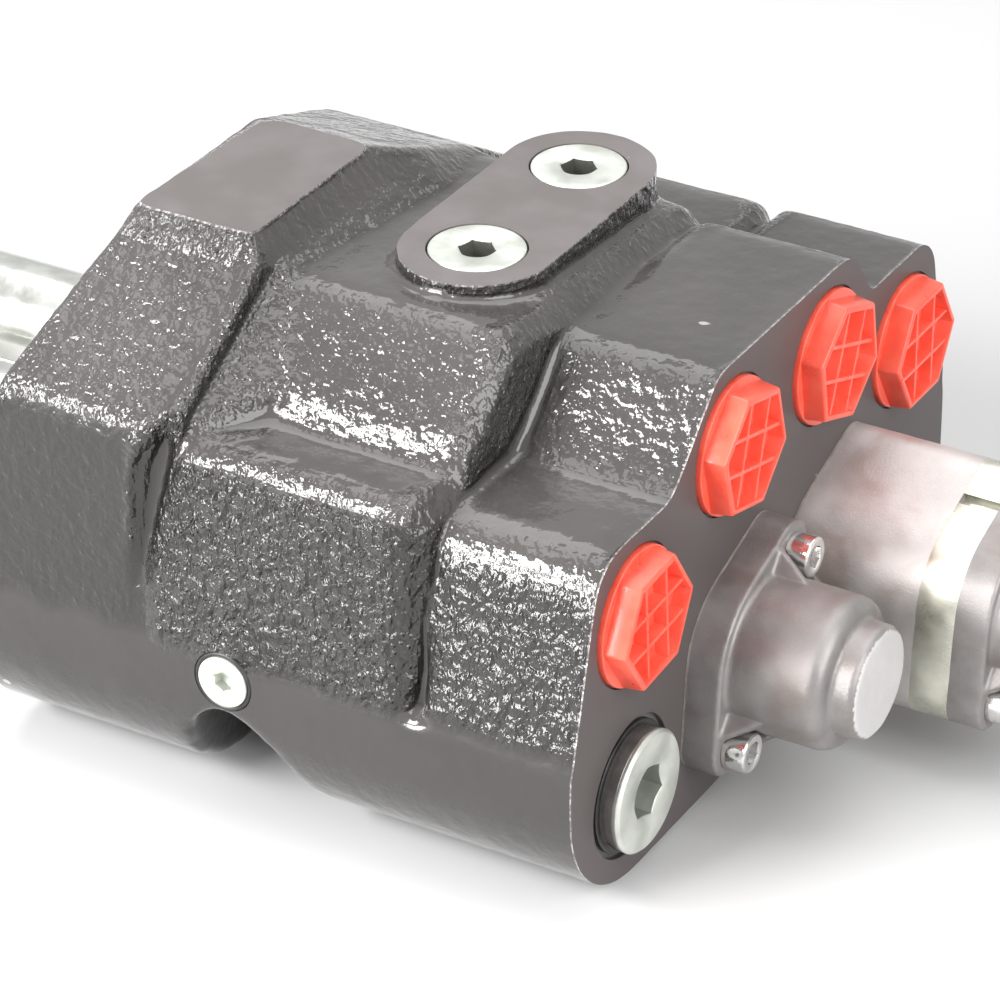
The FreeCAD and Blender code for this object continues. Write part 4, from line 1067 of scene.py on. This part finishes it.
def spacer():
    """Distance housing of the second spool, ground flat at both ends."""
    end = spacer_length + 1
    block = prism("block", flange_outline(), -2, spacer_length + 2)
    work = cast_finish([block], "spacer_casting", 3, 0.07, 8)
    cuts = [slab(-6, 0), slab(spacer_length, spacer_length + 10), rod(cap_cavity, -1, end, 72)]
    combine(work, cuts + at_screws(ear_hole, -1, end), solver="MANIFOLD")
    place(work, on_axis(stack_start, "2"), X)
    finished(work, "spacer_housing", spacer_metal, angle=44)


def stop_plate():
    """Zinc-plated plate with eased edges and a half-round notch in its upper side."""
    end = plate_thickness + 1
    plate = prism("stop_plate_zinc", flange_outline(), 0, plate_thickness)
    notch = rod(2.2, -1, end, 32)
    notch.data.transform(Matrix.Translation((3.0, 21.1, 0)))
    combine(plate, [notch, rod(5.02, -1, end)] + at_screws(ear_hole, -1, end))
    ease_edges(plate, 0.45, 3)
    place(plate, on_axis(stack_start + spacer_length, "2"), X)
    finished(plate, "stop_plate", plate_zinc)


def cover_flange(number):
    """Flange of the left face, bored for the sleeve that it holds."""
    end = cover_thickness + 2
    flange = prism("flange", flange_outline(), 0, end)
    work = cast_finish([flange], "cover_flange_casting_" + number, 3, 0.07, 10 + int(number))
    cuts = [slab(-6, 0.0001), slab(cover_thickness, cover_thickness + 5),
            rod(sleeve_inner, -1, end, 72), rod(sleeve_outer + 0.02, -1, 6, 96)]
    combine(work, cuts + at_screws(ear_hole, -1, end), solver="MANIFOLD")
    place(work, on_axis(left_face - cover_thickness, number), X)
    finished(work, "cover_flange_" + number, flange_metal, angle=44)


def screw_model(grip):
    """Socket head screw about +Z, its head standing on z = 0."""
    thread, head, top = 2.98, 5.0, 6.0
    screw = lathe("screw", [(0, -grip), (2.4, -grip), (thread, -grip + 0.7), (thread, 0), (head, 0),
                            (head, top - 0.4), (head - 0.4, top), (0, top)], 72, 0.18)
    combine(screw, socket(5.0, top, 3.0, 30, 0.25))
    ease_edges(screw, 0.1)
    return smooth(screw)


def screw_pattern():
    """Two copies of one screw, opposite each other round a centre."""
    pattern = Pattern("screw_pair", Radius="Float", Turn="Float", Screw="Object")
    given = pattern.given
    ends = []
    for way in (-1.0, 1.0):
        reach = pattern.times(given["Radius"], way)
        spot = {axis: pattern.times(reach, pattern.math(wave, given["Turn"]))
                for axis, wave in (("X", "COSINE"), ("Y", "SINE"))}
        ends.append(pattern.wired("ShaderNodeCombineXYZ", **spot).outputs[0])
    model = pattern.wired("GeometryNodeObjectInfo", Object=given["Screw"])
    return pattern.close(pattern.at_ends(*ends, model.outputs["Geometry"]), bright_steel)


def flange_screws(node, number, seat_x, length, direction, pattern):
    """The two screws of one flange, from one model."""
    model = screw_model(length)
    turn = screw_angle if direction == X else pi - screw_angle
    pair = pattern.run(node + "_turned", Radius=screw_offset, Turn=turn, Screw=model)
    drop(model)
    place(pair, on_axis(seat_x, number), direction)
    finished(pair, node, bright_steel)


def coil_pattern():
    """Round wire wound into an even coil that stands on z = 0."""
    pattern = Pattern("coil", Radius="Float", Wire="Float", Length="Float", Turns="Float")
    given = pattern.given
    rise = pattern.math("SUBTRACT", given["Length"], pattern.times(given["Wire"], 2.0))
    spiral = pattern.wired("GeometryNodeCurveSpiral", Resolution=48, Rotations=given["Turns"],
                           Height=rise, Start_Radius=given["Radius"], End_Radius=given["Radius"])
    section = pattern.wired("GeometryNodeCurvePrimitiveCircle", Resolution=12, Radius=given["Wire"])
    wire = pattern.wired("GeometryNodeCurveToMesh", Curve=spiral.outputs[0],
                         Profile_Curve=section.outputs[0], Fill_Caps=True)
    return pattern.close(wire.outputs[0], spring_wire)


def coil(node, mover, start, direction, length, radius, wire, turns, pattern):
    """A spring whose start leans on the moving body and whose far end rests in the housing."""
    spring = pattern.run(node + "_coil", Radius=radius, Wire=wire, Length=length, Turns=turns)
    spring.data.transform(Matrix.Translation((0, 0, wire)))
    place(spring, start, direction)
    finished(spring, node, spring_wire, rides=False)
    reach = 0.1 * length
    still = start + direction * (length + reach)
    moving = start - direction * reach
    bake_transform(spring, "housing", mover, start=still * mm, end=moving * mm)


def rod_sleeve(number):
    """Plated tube with a turned lead at its outer end."""
    tip = sleeve_length
    tube = lathe("sleeve_tube_" + number,
                 [(sleeve_inner, 0), (sleeve_outer, 0), (sleeve_outer, tip - 0.8),
                  (sleeve_outer - 0.8, tip), (sleeve_inner + 0.4, tip), (sleeve_inner, tip - 0.4),
                  (sleeve_inner, 0)], 128, 0.15)
    place(tube, on_axis(sleeve_start, number), -X)
    finished(tube, "rod_sleeve_" + number, sleeve_steel)


def rod_bush(number):
    """Guide bush, level with the outer end of the sleeve."""
    bore, outer, end = 6.02, 10.98, bush_length
    bush = lathe("bush_turned_" + number,
                 [(bore, 0), (outer, 0), (outer, end), (6.4, end), (bore, end - 0.4), (bore, 0)],
                 96, 0.15)
    place(bush, on_axis(sleeve_start - sleeve_length + bush_length, number), -X)
    finished(bush, "rod_bush_" + number, bronze)


def link_rod(number):
    """Rod with a collar at the spool and a flat tongue with an eye outside."""
    tip, tongue = 124.0, 15
    body = lathe("link_rod_turned_" + number,
                 [(0, -16), (3.98, -16), (3.98, 0), (8.5, 0), (8.5, 6), (6, 6), (6, tip - 0.8),
                  (5.2, tip), (0, tip)], 96, 0.2)
    sides = [box((-10, low, tip - tongue), (10, high, tip + 1))
             for low, high in ((3, 20), (-20, -3))]
    eye = rod(4.0, -12, 12, 64)
    upright = Matrix.Rotation(pi / 2, 4, "X")
    eye.data.transform(Matrix.Translation((0, 0, tip - tongue / 2)) @ upright)
    combine(body, sides + [eye])
    body.data.transform(Matrix.Rotation(pi / 2, 4, "Z"))
    ease_edges(body, 0.25)
    place(body, on_axis(left_face - 2.0, number), -X)
    finished(body, "link_rod_" + number, ground_steel)


# Build every piece

casting()
for number in ("1", "2"):
    check_plug(number)
    spring_cap(number)
    cover_flange(number)
    rod_sleeve(number)
    rod_bush(number)
    link_rod(number)
relief_plug()
relief_washer()
gallery_plug()
spacer()
stop_plate()
ribs = rib_pattern()
for node in port_places:
    port_cap(node, ribs)

screw_pair = screw_pattern()
coils = coil_pattern()
thread_end = 69.0
wire, narrow, wide = 0.75, 8.9, 10.9
for number in ("1", "2"):
    face = cap_face[number]
    seat = face + cap_flange
    flange_screws("cap_screws_" + number, number, seat, seat - thread_end, X, screw_pair)
    flange_screws("cover_screws_" + number, number, left_face - cover_thickness, 22, -X, screw_pair)
    coil("load_check_spring_" + number, "load_check_" + number,
         Vector((check_x, spool_y[number], 90.15)), Z, 17.75, 6.7, 0.6, 5, coils)
    slider = "spool_assembly_" + number
    collar = face + 13.4
    inner_seat = 126.6 if number == "2" else 82.1
    coil("centring_spring_inner_" + number, slider,
         on_axis(collar, number), -X, collar - inner_seat, wide, wire, 3, coils)
    coil("centring_spring_outer_" + number, slider,
         on_axis(face + 17.6, number), X, 15.3, narrow, wire, 3, coils)
coil("relief_spring", "relief_valve_poppet", relief_centre - X * 34.9, X, 25.8, 5.8, 0.8, 6, coils)
coil("feel_spring", "spool_assembly_2", on_axis(96.1, "2"), X, 20.3, narrow, wire, 5, coils)

# Pieces that keep their solid's own mesh
carried = {
    "load_check_poppet": ground_steel, "relief_seat": ground_steel, "relief_poppet": ground_steel,
    "spool_seals": rubber, "seal_washer": ground_steel, "spool_": ground_steel, "cap_gasket": fibre,
    "tail_rod": ground_steel, "centring_collar": ground_steel, "collar_screw": bright_steel,
}
for node, obj in frame["nodes"].items():
    for start, material in carried.items():
        if node.startswith(start):
            obj.data.materials.clear()
            obj.data.materials.append(material)
            break


# Camera, lamps and floor

def camera():
    """The photo's camera, as solved from the edges of the block."""
    lens = configure(bpy.data.cameras.new("camera"), lens=167.8, sensor_width=36.0, clip_end=20)
    right = (0.86470478, 0.50224653, -0.00583634)
    up = (-0.25413216, 0.44749631, 0.85741699)
    back = (0.43324645, -0.73992937, 0.51458919)
    turn = Matrix((right, up, back)).transposed().to_4x4()
    holder = link("camera", lens)
    holder.matrix_world = Matrix.Translation((0.50012, -0.84456, 0.63029)) @ turn
    bpy.context.scene.camera = holder


def lamp(name, spot, size, power):
    """Rectangular area lamp at spot that shines at the valve."""
    light = configure(bpy.data.lights.new(name, "AREA"), shape="RECTANGLE", size=size[0],
                      size_y=size[1], energy=power)
    way = Vector(spot) - Vector((0.0, -0.02, 0.06))
    turn = way.to_track_quat("Z", "Y").to_matrix().to_4x4()
    link(name, light).matrix_world = Matrix.Translation(spot) @ turn


def fade_out(paper):
    """Far from the object the camera sees the paper as the plain white of the backdrop."""
    fade_from, fade_to = 0.45, 1.1
    away = paper.add("ShaderNodeVectorMath", operation="LENGTH")
    paper.put(away.inputs[0], paper.place)
    seen = paper.add("ShaderNodeLightPath").outputs["Is Camera Ray"]
    share = paper.times(paper.ramp(away.outputs["Value"], fade_from, fade_to), seen)
    white = paper.add("ShaderNodeEmission").outputs[0]
    shown = paper.mix_shaders(share, paper.shader.outputs[0], white)
    paper.put(paper.tree.nodes["Material Output"].inputs["Surface"], shown)


def floor():
    bm = bmesh.new()
    bmesh.ops.create_grid(bm, x_segments=1, y_segments=1, size=3.0)
    sheet = from_bmesh("floor", bm)
    f = Finish("floor_paper")
    f.set(Base_Color=f.mix(f.noise(0.5, 2), (0.56, 0.56, 0.56), (0.58, 0.58, 0.58)), Roughness=0.9)
    fade_out(f)
    sheet.data.materials.append(f.material)


def world():
    """White to the camera and in reflections, a plain grey light on the object."""
    sky = bpy.data.worlds.new("studio")
    bpy.context.scene.world = sky
    sky.use_nodes = True
    sky.node_tree.nodes.clear()
    nodes = Nodes(sky.node_tree)
    rays = nodes.add("ShaderNodeLightPath").outputs
    shown = rays["Is Camera Ray"]
    for kind in ("Is Glossy Ray", "Is Transmission Ray"):
        shown = nodes.math("MAXIMUM", shown, rays[kind])
    grey, white = [nodes.wired("ShaderNodeBackground", Strength=strength).outputs[0]
                   for strength in (0.15, 1.0)]
    out = nodes.add("ShaderNodeOutputWorld")
    nodes.put(out.inputs[0], nodes.mix_shaders(shown, grey, white))


floor()
world()
lamp("near_strip", (-0.69, -1.14, 0.94), (1.0, 0.48), 37)
lamp("near_box", (-0.68, -1.40, 0.34), (0.8, 0.5), 24)
lamp("overhead", (-0.10, 0.35, 1.55), (1.8, 1.6), 23)
lamp("right_side", (1.25, -0.50, 0.85), (1.2, 1.2), 24)
camera()

bpy.context.scene.view_settings.view_transform = "Standard"
